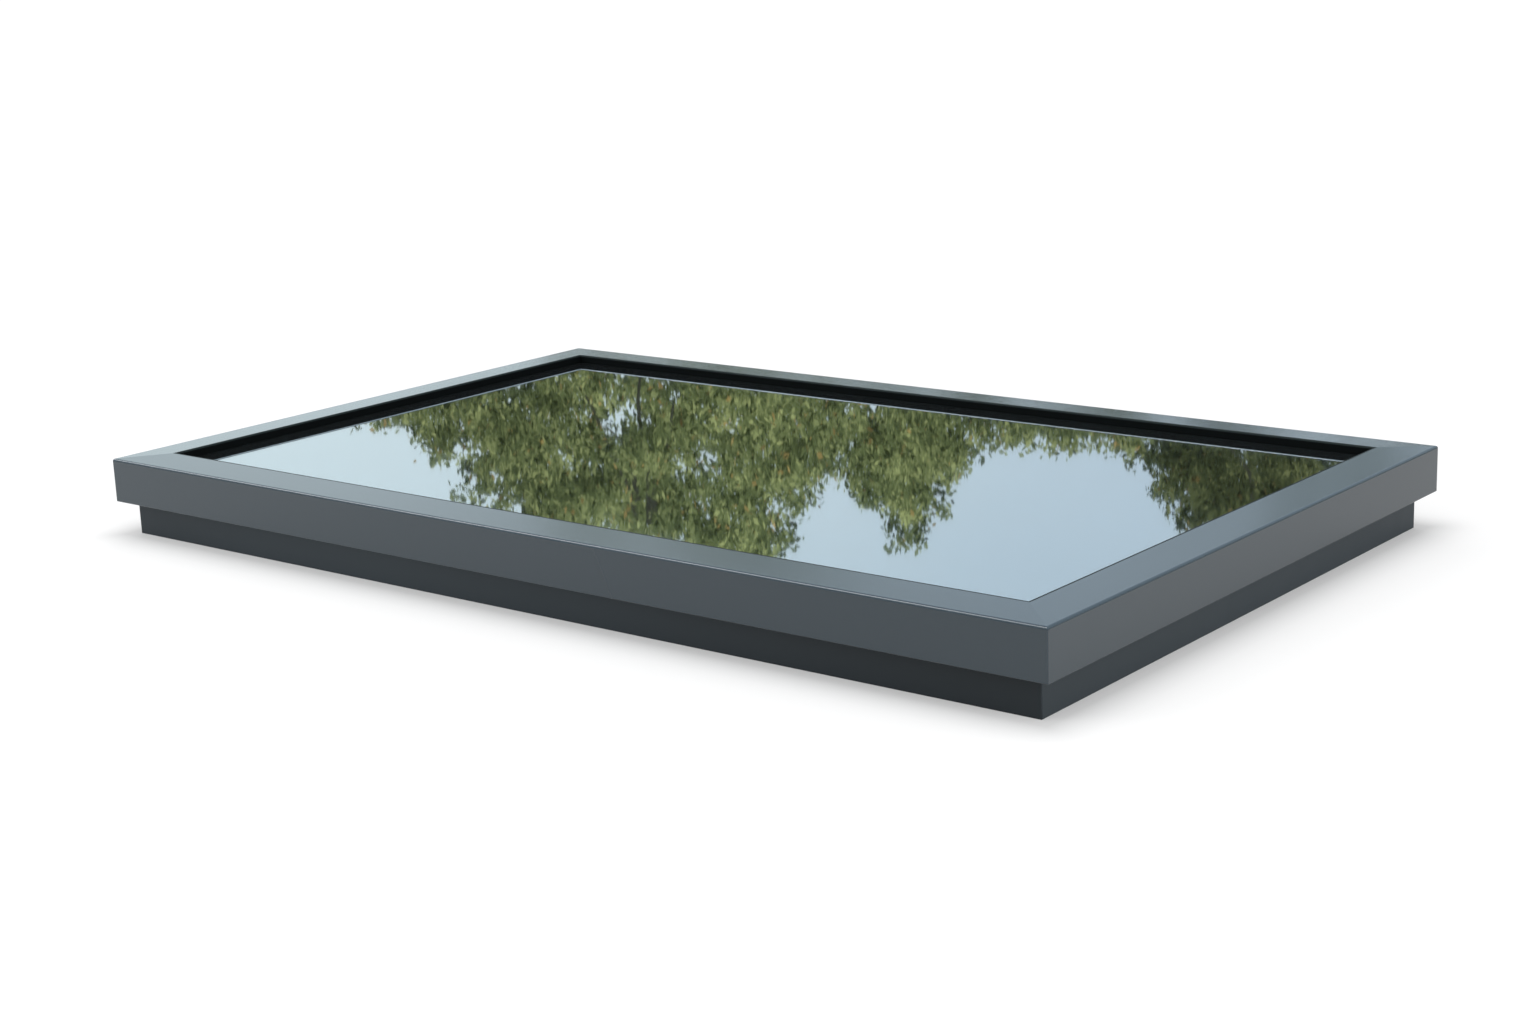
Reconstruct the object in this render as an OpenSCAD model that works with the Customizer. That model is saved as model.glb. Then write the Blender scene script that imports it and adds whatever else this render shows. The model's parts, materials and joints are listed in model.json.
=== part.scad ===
// Fixed flat-roof skylight: a mitred cap frame and a thermally broken base frame
// that hold a sealed double-glazed unit over a roof opening.
// In the section, u runs inward from the cap's outer face and z runs up from the roof kerb.

/* [Overall] */
// Width over the cap frame, left to right
unit_w = 1600; // [1000:10:2400]
// Depth over the cap frame, front to back
unit_d = 1000; // [700:10:1600]

/* [Cap frame] */
// Height of the outer fascia
fascia_h = 64; // [54:1:80]
// Width of the sloping top flange
flange_w = 65; // [58:1:74]
// Height that the top flange gains towards the glass
flange_rise = 3.2; // [1:0.1:6]
// Wall of the cap extrusion
cap_wall = 2.5; // [2:0.1:3.5]
// Radius of the outer top edge
cap_edge_r = 4; // [1:0.5:5]
// Radius to which the mitred corners of the frame are eased
corner_ease_r = 1.5; // [0.5:0.1:2.4]
// Radius of the flange's nose, its inner top edge
lip_edge_r = 1.5; // [0.5:0.1:1.9]
// Radius of the fascia's lower edge
drip_edge_r = 1; // [0.4:0.1:2]
// Clear width of the cleat chamber behind the fascia
cap_chamber_w = 13.5; // [12:0.5:16]
// Inward reach of the drip toe at the foot of the fascia
toe_reach = 1.5; // [0.5:0.1:2.5]
// Thickness of the drip toe
toe_t = 2; // [1:0.1:3]
// Width of the foot that presses the gasket on the glass
foot_w = 10; // [9:0.5:14]
// Width of the mouth of the gasket groove
groove_mouth = 4; // [3:0.1:5]
// Thickness of the two lips that close the gasket groove
groove_lip_t = 1.8; // [1.2:0.1:2.4]
// Undercut of the gasket groove at each side
groove_undercut = 1.2; // [0.6:0.1:1.6]
// Height of the undercut part of the gasket groove
groove_h = 3.2; // [2.4:0.1:3.6]

/* [Base frame] */
// Height of the glazing shelf above the kerb
base_h = 72; // [64:1:100]
// Wall of the base extrusions
base_wall = 2.5; // [2:0.1:3.5]
// Wall of the base extrusions that grips the thermal break bars
grip_wall = 4.5; // [4:0.1:6]
// Width of the outer base extrusion
outer_w = 18; // [16:0.5:26]
// Width of the inner base extrusion
inner_w = 20; // [18:0.5:28]
// Radius of the lower outer edge of the base
base_edge_r = 1; // [0.4:0.1:2]
// Gap between the cap's inner web and the base, where water drains
drain_gap = 3.5; // [2.5:0.5:8]
// Thickness of the outer ledge that carries the cap
ledge_t = 3; // [2.4:0.1:5]
// Height of the ledge's underside above the foot of the fascia
ledge_lift = 4; // [3.2:0.1:8]
// Gap between the drip toe and the ledge
ledge_gap = 2; // [1:0.1:2.5]
// Depth of the top of the glazing upstand below the outer glass face
upstand_drop = 4; // [2:0.5:12]

/* [Thermal break] */
// Clear width between the outer and inner base extrusions
break_w = 16; // [10:1:30]
// Thickness of a thermal break bar
bar_t = 2.5; // [2:0.1:3.5]
// Depth of the dovetail foot of a bar
bar_foot = 3; // [2:0.1:3.4]
// Flare of the dovetail foot at each side
bar_flare = 1; // [0.4:0.1:1.6]
// Depth of the upper bar's top face below the glazing shelf
upper_bar_drop = 6.5; // [5:0.5:12]
// Width of the foam strip against the kerb
base_seal_w = 12; // [6:0.5:15]
// Height of the foam strip against the kerb
base_seal_h = 8; // [6:0.5:16]

/* [Glazing] */
// Thickness of each glass pane
pane_t = 6; // [4:0.5:10]
// Width of the gas space between the panes
cavity_t = 16; // [10:1:20]
// Thickness of the bedding tape under the sealed unit
tape_t = 4; // [3:0.5:6]
// Width of the bedding tape
tape_w = 14; // [8:0.5:17]
// Distance from the inner face of the base to the bedding tape
tape_inset = 2; // [1:0.5:6]
// Thickness of the gasket's head between the glass and the cap
gasket_t = 3; // [2:0.1:5]
// Distance that the gasket's head stands back from the outer side of the foot
gasket_inset = 0.5; // [0.2:0.1:1.2]
// Clearance of the gasket in its groove and under the flange
gasket_clear = 0.2; // [0.1:0.05:0.4]
// Thickness of the gasket's face that lines the reveal over the glass
reveal_face_t = 1.5; // [1:0.1:2.5]
// Overhang of the flange's nose past the gasket's face
nose_reach = 0.5; // [0.2:0.1:1.5]
// Height of the flange's inner edge above the glass
reveal_h = 13.2; // [11.5:0.1:20]
// Gap between the glazing upstand and the edge of the glass
edge_gap = 6.5; // [4:0.5:9]
// Depth of the edge sealant
sealant_w = 6; // [4:0.5:10]
// Width of the spacer bar
spacer_w = 8; // [6:0.5:12]
// Wall of the spacer bar
spacer_wall = 0.8; // [0.5:0.1:1.2]
// Height of the perforated slit in the spacer bar
spacer_slit = 1.2; // [0.6:0.1:3]
// Length of a setting packer or edge block
block_len = 80; // [40:5:120]
// Height of an edge block
block_h = 26; // [12:1:27]
// Width of a setting packer
packer_w = 8; // [5:0.5:9]
// Distance of the outermost blocks from the corners of the unit
block_end = 150; // [130:5:200]

/* [Cap fixing] */
// Diameter of a cap screw's shank
screw_d = 4.2; // [3:0.1:4.8]
// Length of a cap screw under its head
screw_len = 20; // [16:1:26]
// Diameter of a cap screw's head
screw_head_d = 8; // [7:0.1:9]
// Height of a cap screw's head
screw_head_h = 2.6; // [2:0.1:3]
// Across flats of the hexagon drive in the head
screw_drive = 2.5; // [2:0.1:3]
// Depth of the hexagon drive
screw_drive_h = 1.6; // [1:0.1:1.8]
// Clearance of a cap screw in the ledge and in the foam seal
ledge_hole_clear = 0.8; // [0.4:0.1:1.2]
// Clearance of a cap screw in the cap's web, which its thread grips
web_hole_clear = 0.2; // [0.1:0.1:0.4]
// Distance from the ledge's outer edge to the screws
screw_edge = 5; // [4.6:0.1:5.4]
// Largest distance between two cap screws
screw_pitch = 320; // [200:10:500]
// Distance of the end screws from the corners of the unit
screw_end = 110; // [100:5:180]
// Width of the foam seal between the ledge and the cap
skirt_seal_w = 9; // [8:0.5:11]
// Thickness of the foam seal between the ledge and the cap
skirt_seal_t = 3; // [2:0.1:5]
// Distance of the foam seal from the ledge's outer edge
skirt_seal_inset = 1; // [0.5:0.1:1.4]

/* [Kerb fixing] */
// Diameter of a kerb screw hole
kerb_hole_d = 6.5; // [5:0.5:8]
// Distance of the end kerb screw holes from the corners of the unit
kerb_hole_end = 140; // [135:5:220]
// Largest distance between two kerb screw holes
kerb_pitch = 450; // [300:10:600]
// Margin between an access hole in the shelf and the walls of the chamber below it
access_margin = 0.5; // [0.2:0.1:1.5]

/* [Drainage] */
// Length of a weep slot
weep_len = 30; // [12:1:60]
// Height of a weep slot in the upstand
weep_h = 4; // [2:0.5:6]
// Margin between a weep slot in the ledge and the walls beside it
weep_margin = 0.5; // [0.2:0.1:0.8]
// Largest distance between two weep slots
weep_pitch = 500; // [300:10:700]
// Distance between an end weep slot and the edge block beside it
weep_block_gap = 25; // [10:1:60]

/* [Corner cleats] */
// Length of a cleat's arm
cleat_arm = 55; // [40:1:60]
// Clearance of a cleat in its chamber
cleat_clear = 0.2; // [0.1:0.05:0.4]
// Depth of the crimping notches in a cleat
cleat_notch = 2; // [1:0.1:2.4]
// Width of the crimping notches in a cleat
cleat_notch_w = 6; // [4:0.5:8]

/* [Hidden] */
$fn = 48;

SIDES = ["front", "right", "back", "left"];
CORNERS = ["front_left", "front_right", "back_right", "back_left"];
RAIL_PIECES = [
    "cap_rail", "outer_rail", "inner_rail", "upper_break", "lower_break",
    "glazing_gasket", "glazing_tape", "skirt_seal", "base_seal"
];
CORNER_PIECES = ["cap_cleat", "outer_cleat", "inner_cleat"];
SINGLE_PIECES = [
    "outer_pane", "inner_pane", "spacer_frame", "edge_sealant",
    "edge_blocks", "setting_packers", "cap_screws"
];

// Finishes
ANTHRACITE = [0.22, 0.25, 0.28];
MILL_ALUMINIUM = [0.72, 0.73, 0.74];
POLYAMIDE = [0.12, 0.12, 0.13];
RUBBER = [0.06, 0.06, 0.06];
FOAM = [0.16, 0.16, 0.17];
SEALANT = [0.10, 0.10, 0.11];
BLOCK_PLASTIC = [0.55, 0.57, 0.60];
STEEL = [0.66, 0.67, 0.68];
TINTED_GLASS = [0.16, 0.22, 0.22, 0.75];
CLEAR_GLASS = [0.75, 0.85, 0.84, 0.45];

// Heights of the glazing, from the shelf up
glass_z = base_h + tape_t;
cavity_z = glass_z + pane_t;
outer_pane_z = cavity_z + cavity_t;
glass_top = outer_pane_z + pane_t;
foot_z = glass_top + gasket_t;

// Heights of the cap, hung from the flange's inner edge
flange_in_z = glass_top + reveal_h;
flange_out_z = flange_in_z - flange_rise;
fascia_z = flange_out_z - fascia_h;
ledge_z = fascia_z + ledge_lift;
skirt_seal_z = ledge_z + ledge_t;
web_z = skirt_seal_z + skirt_seal_t;
cap_chamber_z = web_z + cap_wall;
upstand_z = glass_top - upstand_drop;

// Places across the section, from the cap's outer face inward
web_u = cap_wall + cap_chamber_w;
base_u = web_u + cap_wall + drain_gap;
ledge_u = cap_wall + toe_reach + ledge_gap;
screw_u = ledge_u + screw_edge;
outer_chamber_u = base_u + base_wall;
outer_grip_u = base_u + outer_w - grip_wall;
break_u = base_u + outer_w;
inner_u = break_u + break_w;
inner_chamber_u = inner_u + grip_wall;
inner_face_u = inner_u + inner_w;
inner_chamber_end_u = inner_face_u - base_wall;
kerb_hole_u = (inner_chamber_u + inner_chamber_end_u) / 2;
glass_u = outer_chamber_u + edge_gap;
spacer_u = glass_u + sealant_w;
face_u = flange_w - nose_reach;
lip_u = face_u - reveal_face_t;
foot_u = lip_u - foot_w;
groove_u = lip_u - foot_w / 2;

// Thermal break bars and the chambers of the base
upper_bar_z = base_h - upper_bar_drop - bar_t;
lower_bar_z = base_seal_h;
base_chamber_h = base_h - 2 * base_wall;
outer_chamber_w = outer_grip_u - outer_chamber_u;
inner_chamber_w = inner_chamber_end_u - inner_chamber_u;
access_hole_d = inner_chamber_w - 2 * access_margin;

// Holes for the cap screws, and the place of the end weep slots past the end blocks
ledge_hole_d = screw_d + ledge_hole_clear;
web_hole_d = screw_d + web_hole_clear;
weep_end = block_end + (block_len + weep_len) / 2 + weep_block_gap;

// Cuts reach this far past the faces that they open
cut = 1;
// Height of the mitre cutter, above every piece
mitre_h = flange_in_z + 10 * cut;

function side_length(side) = (side == "front" || side == "back") ? unit_w : unit_d;
function height_of_flange(u) = flange_out_z + flange_rise * u / flange_w;
function spread(length, end, gaps) =
    let (span = length - 2 * end)
    [for (i = [0 : gaps]) -span / 2 + i * span / gaps];
function screw_places(side) =
    let (length = side_length(side))
    spread(length, screw_end, ceil((length - 2 * screw_end) / screw_pitch));
function kerb_hole_places(side) =
    let (length = side_length(side))
    spread(length, kerb_hole_end, ceil((length - 2 * kerb_hole_end) / kerb_pitch));
// An even number of slots, so that none falls on the block in the middle of a side
function weep_places(side) =
    let (length = side_length(side))
    spread(length, weep_end, 2 * ceil((length - 2 * weep_end) / weep_pitch / 2) - 1);
// Near each end of a side and in its middle
function block_places(side) = spread(side_length(side), block_end, 2);

// The sliver that a round of radius r takes off the corner at p,
// whose two edges leave it along the directions a and b
module corner_sliver(p, a, b, r) {
    unit_a = a / norm(a);
    unit_b = b / norm(b);
    half_angle = acos(unit_a * unit_b) / 2;
    tangent = r / tan(half_angle);
    middle = unit_a + unit_b;
    centre = p + middle / norm(middle) * r / sin(half_angle);
    difference() {
        polygon([p, p + unit_a * tangent, centre, p + unit_b * tangent]);
        translate(centre) circle(r);
    }
}

module rect(u, z, width, height) {
    translate([u, z]) square([width, height]);
}

// A slot with round ends, drawn about its middle
module slot(length, width) {
    square([length - width, width], center = true);
    for (end = [-1, 1]) translate([end * (length - width) / 2, 0]) circle(d = width);
}

// Turns a piece that is drawn for the front side, with its outer face on y = 0, to its own side
module at_side(side) {
    turn = side == "front" ? 0 : side == "right" ? 90 : side == "back" ? 180 : 270;
    reach = (side == "front" || side == "back") ? unit_d / 2 : unit_w / 2;
    rotate([0, 0, turn]) translate([0, -reach, 0]) children();
}

// Turns a piece that is drawn with the unit's corner at the origin to its own corner
module at_corner(corner) {
    turn = corner == "front_left" ? 0 : corner == "front_right" ? 90 : corner == "back_right" ? 180 : 270;
    along_x = turn == 0 || turn == 180;
    half_w = along_x ? unit_w / 2 : unit_d / 2;
    half_d = along_x ? unit_d / 2 : unit_w / 2;
    rotate([0, 0, turn]) translate([-half_w, -half_d, 0]) children();
}

// A length of extrusion along a side, cut at 45 degrees at both ends
module mitred(side) {
    half = side_length(side) / 2;
    width = max(inner_face_u, flange_w) + cut;
    intersection() {
        translate([-half, 0, 0]) rotate([90, 0, 90]) linear_extrude(2 * half) children();
        translate([0, 0, -cut]) linear_extrude(mitre_h)
            polygon([[-half, 0], [half, 0], [half - width, width], [width - half, width]]);
    }
}

// Slivers that ease both ends of a side where its face at u meets the next side's
module corner_easing(side, u, z, height) {
    half = side_length(side) / 2 - u;
    translate([0, u, z]) linear_extrude(height) for (end = [-1, 1])
        corner_sliver([end * half, 0], [-end, 0], [0, 1], corner_ease_r);
}

// The cap extrusion: fascia with a drip toe, sloping flange, cleat chamber and gasket foot
module cap_profile() {
    slope = [flange_w, flange_rise];
    difference() {
        union() {
            rect(0, fascia_z, cap_wall, fascia_h);
            rect(0, fascia_z, cap_wall + toe_reach, toe_t);
            polygon([
                [0, flange_out_z], [0, flange_out_z - cap_wall],
                [flange_w, flange_in_z - cap_wall], [flange_w, flange_in_z]
            ]);
            polygon([
                [web_u, web_z], [web_u + cap_wall, web_z],
                [web_u + cap_wall, height_of_flange(web_u + cap_wall) - cap_wall / 2],
                [web_u, height_of_flange(web_u) - cap_wall / 2]
            ]);
            rect(0, web_z, web_u + cap_wall, cap_wall);
            polygon([
                [foot_u, foot_z], [lip_u, foot_z],
                [lip_u, height_of_flange(lip_u) - cap_wall / 2],
                [foot_u, height_of_flange(foot_u) - cap_wall / 2]
            ]);
        }
        rect(groove_u - groove_mouth / 2, foot_z - cut, groove_mouth, groove_lip_t + 2 * cut);
        rect(groove_u - groove_mouth / 2 - groove_undercut, foot_z + groove_lip_t,
            groove_mouth + 2 * groove_undercut, groove_h);
        corner_sliver([0, flange_out_z], [0, -1], slope, cap_edge_r);
        corner_sliver([flange_w, flange_in_z], [0, -1], -slope, lip_edge_r);
        corner_sliver([0, fascia_z], [0, 1], [1, 0], drip_edge_r);
    }
}

// The outer base extrusion: hollow box, glazing upstand and the ledge that carries the cap
module outer_profile() {
    difference() {
        union() {
            rect(base_u, 0, outer_w, base_h);
            rect(base_u, 0, base_wall, upstand_z);
            rect(ledge_u, ledge_z, base_u - ledge_u + base_wall, ledge_t);
        }
        rect(outer_chamber_u, base_wall, outer_chamber_w, base_chamber_h);
        for (z = [lower_bar_z, upper_bar_z]) break_profile(z);
        corner_sliver([base_u, 0], [0, 1], [1, 0], base_edge_r);
    }
}

// The inner base extrusion: hollow box whose top is the glazing shelf
module inner_profile() {
    difference() {
        rect(inner_u, 0, inner_w, base_h);
        rect(inner_chamber_u, base_wall, inner_chamber_w, base_chamber_h);
        for (z = [lower_bar_z, upper_bar_z]) break_profile(z);
        corner_sliver([inner_face_u, 0], [0, 1], [-1, 0], base_edge_r);
    }
}

// A thermal break bar with a dovetail foot along each edge,
// which is also the outline of the grooves that grip it
module break_profile(z) {
    top = z + bar_t;
    polygon([
        [break_u - bar_foot, z - bar_flare], [break_u, z],
        [inner_u, z], [inner_u + bar_foot, z - bar_flare],
        [inner_u + bar_foot, top + bar_flare], [inner_u, top],
        [break_u, top], [break_u - bar_foot, top + bar_flare]
    ]);
}

// The glazing gasket: a head between foot and glass, a face that lines the reveal
// up to the flange, and a barbed stem in the groove
module gasket_profile() {
    stem_w = groove_mouth - 2 * gasket_clear;
    barb_w = stem_w + 2 * groove_undercut;
    barb_z = foot_z + groove_lip_t + gasket_clear;
    barb_top = barb_z + groove_h - 2 * gasket_clear;
    head_u = foot_u + gasket_inset;
    under_flange = cap_wall + gasket_clear;
    rect(head_u, glass_top, face_u - head_u, gasket_t);
    polygon([
        [lip_u, glass_top], [face_u, glass_top],
        [face_u, height_of_flange(face_u) - under_flange],
        [lip_u, height_of_flange(lip_u) - under_flange]
    ]);
    rect(groove_u - stem_w / 2, glass_top, stem_w, barb_z - glass_top);
    polygon([
        [groove_u - barb_w / 2, barb_z], [groove_u + barb_w / 2, barb_z],
        [groove_u + stem_w / 4, barb_top], [groove_u - stem_w / 4, barb_top]
    ]);
}

module cap_rail(side) {
    color(ANTHRACITE) at_side(side) difference() {
        mitred(side) cap_profile();
        corner_easing(side, 0, fascia_z - cut, fascia_h + 2 * cut);
        for (x = screw_places(side))
            translate([x, screw_u, web_z - cut]) cylinder(d = web_hole_d, h = cap_wall + 2 * cut);
    }
}

module outer_rail(side) {
    color(ANTHRACITE) at_side(side) difference() {
        mitred(side) outer_profile();
        corner_easing(side, base_u, -cut, ledge_z + cut);
        for (x = screw_places(side))
            translate([x, screw_u, ledge_z - cut]) cylinder(d = ledge_hole_d, h = ledge_t + 2 * cut);
        for (x = weep_places(side)) {
            translate([x, base_u - cut, base_h + weep_h / 2])
                rotate([-90, 0, 0]) linear_extrude(base_wall + 2 * cut) slot(weep_len, weep_h);
            translate([x, base_u - drain_gap / 2, ledge_z - cut])
                linear_extrude(ledge_t + 2 * cut) slot(weep_len, drain_gap - 2 * weep_margin);
        }
    }
}

module inner_rail(side) {
    color(ANTHRACITE) at_side(side) difference() {
        mitred(side) inner_profile();
        for (x = kerb_hole_places(side)) {
            translate([x, kerb_hole_u, -cut]) cylinder(d = kerb_hole_d, h = base_wall + 2 * cut);
            translate([x, kerb_hole_u, base_h - base_wall - cut])
                cylinder(d = access_hole_d, h = base_wall + 2 * cut);
        }
    }
}

module upper_break(side) {
    color(POLYAMIDE) at_side(side) mitred(side) break_profile(upper_bar_z);
}

module lower_break(side) {
    color(POLYAMIDE) at_side(side) mitred(side) break_profile(lower_bar_z);
}

module glazing_gasket(side) {
    color(RUBBER) at_side(side) mitred(side) gasket_profile();
}

module glazing_tape(side) {
    color(FOAM) at_side(side) mitred(side)
        rect(inner_face_u - tape_inset - tape_w, base_h, tape_w, tape_t);
}

module skirt_seal(side) {
    color(FOAM) at_side(side) difference() {
        mitred(side) rect(ledge_u + skirt_seal_inset, skirt_seal_z, skirt_seal_w, skirt_seal_t);
        for (x = screw_places(side))
            translate([x, screw_u, skirt_seal_z - cut])
                cylinder(d = ledge_hole_d, h = skirt_seal_t + 2 * cut);
    }
}

module base_seal(side) {
    color(FOAM) at_side(side) mitred(side)
        rect(break_u + (break_w - base_seal_w) / 2, 0, base_seal_w, base_seal_h);
}

// An L-shaped corner cleat that fills a chamber from u over the given width,
// with crimping notches in the faces that meet the chamber's outer wall
module cleat(u, width, z, height) {
    t = width - 2 * cleat_clear;
    translate([u + cleat_clear, u + cleat_clear, z]) linear_extrude(height) difference() {
        union() {
            square([cleat_arm, t]);
            square([t, cleat_arm]);
        }
        for (place = [cleat_arm / 2, cleat_arm * 3 / 4]) {
            translate([place - cleat_notch_w / 2, -cut]) square([cleat_notch_w, cleat_notch + cut]);
            translate([-cut, place - cleat_notch_w / 2]) square([cleat_notch + cut, cleat_notch_w]);
        }
        corner_sliver([cleat_arm, t], [-1, 0], [0, -1], t / 3);
        corner_sliver([t, cleat_arm], [0, -1], [-1, 0], t / 3);
    }
}

module cap_cleat(corner) {
    roof = height_of_flange(cap_wall) - cap_wall - cleat_clear;
    color(MILL_ALUMINIUM) at_corner(corner)
        cleat(cap_wall, cap_chamber_w, cap_chamber_z, roof - cap_chamber_z);
}

module outer_cleat(corner) {
    color(MILL_ALUMINIUM) at_corner(corner)
        cleat(outer_chamber_u, outer_chamber_w, base_wall, base_chamber_h - cleat_clear);
}

module inner_cleat(corner) {
    color(MILL_ALUMINIUM) at_corner(corner)
        cleat(inner_chamber_u, inner_chamber_w, base_wall, base_chamber_h - cleat_clear);
}

// A flat piece as large as the unit less u at every edge
module plate(u, z, thickness) {
    translate([u - unit_w / 2, u - unit_d / 2, z]) cube([unit_w - 2 * u, unit_d - 2 * u, thickness]);
}

module outer_pane() {
    color(TINTED_GLASS) plate(glass_u, outer_pane_z, pane_t);
}

module inner_pane() {
    color(CLEAR_GLASS) plate(glass_u, glass_z, pane_t);
}

// The spacer bar between the panes, hollow for the drying agent and slit towards the gas space
module spacer_frame() {
    inside = spacer_u + spacer_w;
    hollow_z = cavity_z + spacer_wall;
    hollow_h = cavity_t - 2 * spacer_wall;
    color(MILL_ALUMINIUM) difference() {
        plate(spacer_u, cavity_z, cavity_t);
        plate(inside, cavity_z - cut, cavity_t + 2 * cut);
        difference() {
            plate(spacer_u + spacer_wall, hollow_z, hollow_h);
            plate(inside - spacer_wall, hollow_z - cut, hollow_h + 2 * cut);
        }
        plate(inside - 2 * spacer_wall, cavity_z + (cavity_t - spacer_slit) / 2, spacer_slit);
    }
}

module edge_sealant() {
    color(SEALANT) difference() {
        plate(glass_u, cavity_z, cavity_t);
        plate(spacer_u, cavity_z - cut, cavity_t + 2 * cut);
    }
}

module edge_blocks() {
    color(BLOCK_PLASTIC) for (side = SIDES) at_side(side) for (x = block_places(side))
        translate([x - block_len / 2, outer_chamber_u, base_h]) cube([block_len, edge_gap, block_h]);
}

module setting_packers() {
    color(BLOCK_PLASTIC) for (side = SIDES) at_side(side) for (x = block_places(side))
        translate([x - block_len / 2, glass_u, base_h]) cube([block_len, packer_w, tape_t]);
}

// A pan-head screw with a hexagon drive, seen with its head down
module cap_screw() {
    difference() {
        union() {
            translate([0, 0, -screw_head_h]) cylinder(d = screw_head_d, h = screw_head_h);
            cylinder(d = screw_d, h = screw_len - screw_d / 2);
            translate([0, 0, screw_len - screw_d / 2])
                cylinder(d1 = screw_d, d2 = screw_d / 2, h = screw_d / 2);
        }
        translate([0, 0, -screw_head_h - cut])
            cylinder(d = screw_drive / cos(30), h = screw_drive_h + cut, $fn = 6);
    }
}

module cap_screws() {
    color(STEEL) for (side = SIDES) at_side(side)
        for (x = screw_places(side))
            translate([x, screw_u, ledge_z]) cap_screw();
}

for (side = SIDES) {
    cap_rail(side);
    outer_rail(side);
    inner_rail(side);
    upper_break(side);
    lower_break(side);
    glazing_gasket(side);
    glazing_tape(side);
    skirt_seal(side);
    base_seal(side);
}
for (corner = CORNERS) {
    cap_cleat(corner);
    outer_cleat(corner);
    inner_cleat(corner);
}
outer_pane();
inner_pane();
spacer_frame();
edge_sealant();
edge_blocks();
setting_packers();
cap_screws();
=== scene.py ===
# %% [markdown]
# # A fixed flat-roof skylight
# The imported model already holds every part of the skylight: mitred aluminium rails, thermal
# break bars, rubber, foam, screws and a sealed glass unit. This script gives those parts their
# looks. It loads the parts as a fixed frame, so nothing here has to be fitted by eye, and it
# keeps the size of the loaded model.

# %% Load the parts
import json

import bmesh
import bpy
import numpy as np
from mathutils import Matrix, Vector
from mathutils.geometry import tessellate_polygon


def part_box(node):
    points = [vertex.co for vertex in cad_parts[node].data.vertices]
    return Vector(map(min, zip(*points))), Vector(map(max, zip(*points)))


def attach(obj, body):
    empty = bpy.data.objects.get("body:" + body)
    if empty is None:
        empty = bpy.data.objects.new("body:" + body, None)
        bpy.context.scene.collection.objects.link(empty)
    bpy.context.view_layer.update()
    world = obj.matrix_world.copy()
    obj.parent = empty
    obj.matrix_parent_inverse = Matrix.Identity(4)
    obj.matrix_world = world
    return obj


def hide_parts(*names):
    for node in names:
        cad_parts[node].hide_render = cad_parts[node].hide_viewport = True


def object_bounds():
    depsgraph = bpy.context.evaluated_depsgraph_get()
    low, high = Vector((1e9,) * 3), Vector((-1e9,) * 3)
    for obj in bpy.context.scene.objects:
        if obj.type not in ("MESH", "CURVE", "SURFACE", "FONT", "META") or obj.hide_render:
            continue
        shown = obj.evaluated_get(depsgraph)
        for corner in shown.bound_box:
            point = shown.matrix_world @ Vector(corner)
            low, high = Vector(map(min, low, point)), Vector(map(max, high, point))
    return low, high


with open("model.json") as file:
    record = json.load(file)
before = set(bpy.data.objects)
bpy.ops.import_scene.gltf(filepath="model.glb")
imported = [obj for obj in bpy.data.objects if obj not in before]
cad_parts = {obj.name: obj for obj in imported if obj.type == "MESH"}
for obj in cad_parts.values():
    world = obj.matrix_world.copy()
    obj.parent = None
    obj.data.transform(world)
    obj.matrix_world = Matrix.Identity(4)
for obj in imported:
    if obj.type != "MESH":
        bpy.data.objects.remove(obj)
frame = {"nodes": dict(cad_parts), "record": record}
parts = frame["nodes"]
loaded_box = [list(corner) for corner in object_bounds()]
half_width, half_depth = loaded_box[1][0], loaded_box[1][1]
rail_low, rail_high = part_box("cap_rail_front")
flange_w = rail_high.y - rail_low.y
scene = bpy.context.scene
scene.view_settings.view_transform = "Standard"
print(f"{len(parts)} parts, box from {loaded_box[0]} to {loaded_box[1]}")

# %% [markdown]
# ## The camera
# A picture of a flat box shows where it was taken from: the edges that are parallel on the real
# frame run together in the picture, and that gives the angle, the height and the focal length.
# A camera could be aimed with a tracking constraint, but then its small sideways tilt would be
# lost. Here its three axes are worked out and written into its matrix.

# %% Place the camera
CAMERA_PLACE = (2.1187, -2.5938, 0.8702)
CAMERA_AZIMUTH, CAMERA_ELEVATION, CAMERA_ROLL = np.radians((38.956, 14.141, -2.108))
CAMERA_LENS = 56.92
CAMERA_SENSOR = 36.0


def camera_matrix(place, azimuth, elevation, roll):
    """Back points from the object to the camera, at the azimuth and elevation. Right is level and
    square to it, up is square to both, and the roll turns right and up about back."""
    flat = np.array((np.sin(azimuth), -np.cos(azimuth), 0.0))
    back = flat * np.cos(elevation) + np.array((0.0, 0.0, np.sin(elevation)))
    level = np.array((np.cos(azimuth), np.sin(azimuth), 0.0))
    upright = np.cross(back, level)
    right = np.cos(roll) * level + np.sin(roll) * upright
    up = np.cos(roll) * upright - np.sin(roll) * level
    matrix = np.eye(4)
    matrix[:3, :4] = np.column_stack((right, up, back, place))
    return Matrix(matrix.tolist())


def add_object(name, data):
    """A new object at the origin with this data, linked to the scene."""
    made = bpy.data.objects.new(name, data)
    scene.collection.objects.link(made)
    return made


camera = add_object("camera", bpy.data.cameras.new("camera"))
camera.data.sensor_width = CAMERA_SENSOR
camera.data.lens = CAMERA_LENS
camera.matrix_world = camera_matrix(CAMERA_PLACE, CAMERA_AZIMUTH, CAMERA_ELEVATION, CAMERA_ROLL)
scene.camera = camera
print(f"camera {np.linalg.norm(CAMERA_PLACE):.2f} m away, lens {CAMERA_LENS} mm")

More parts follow.
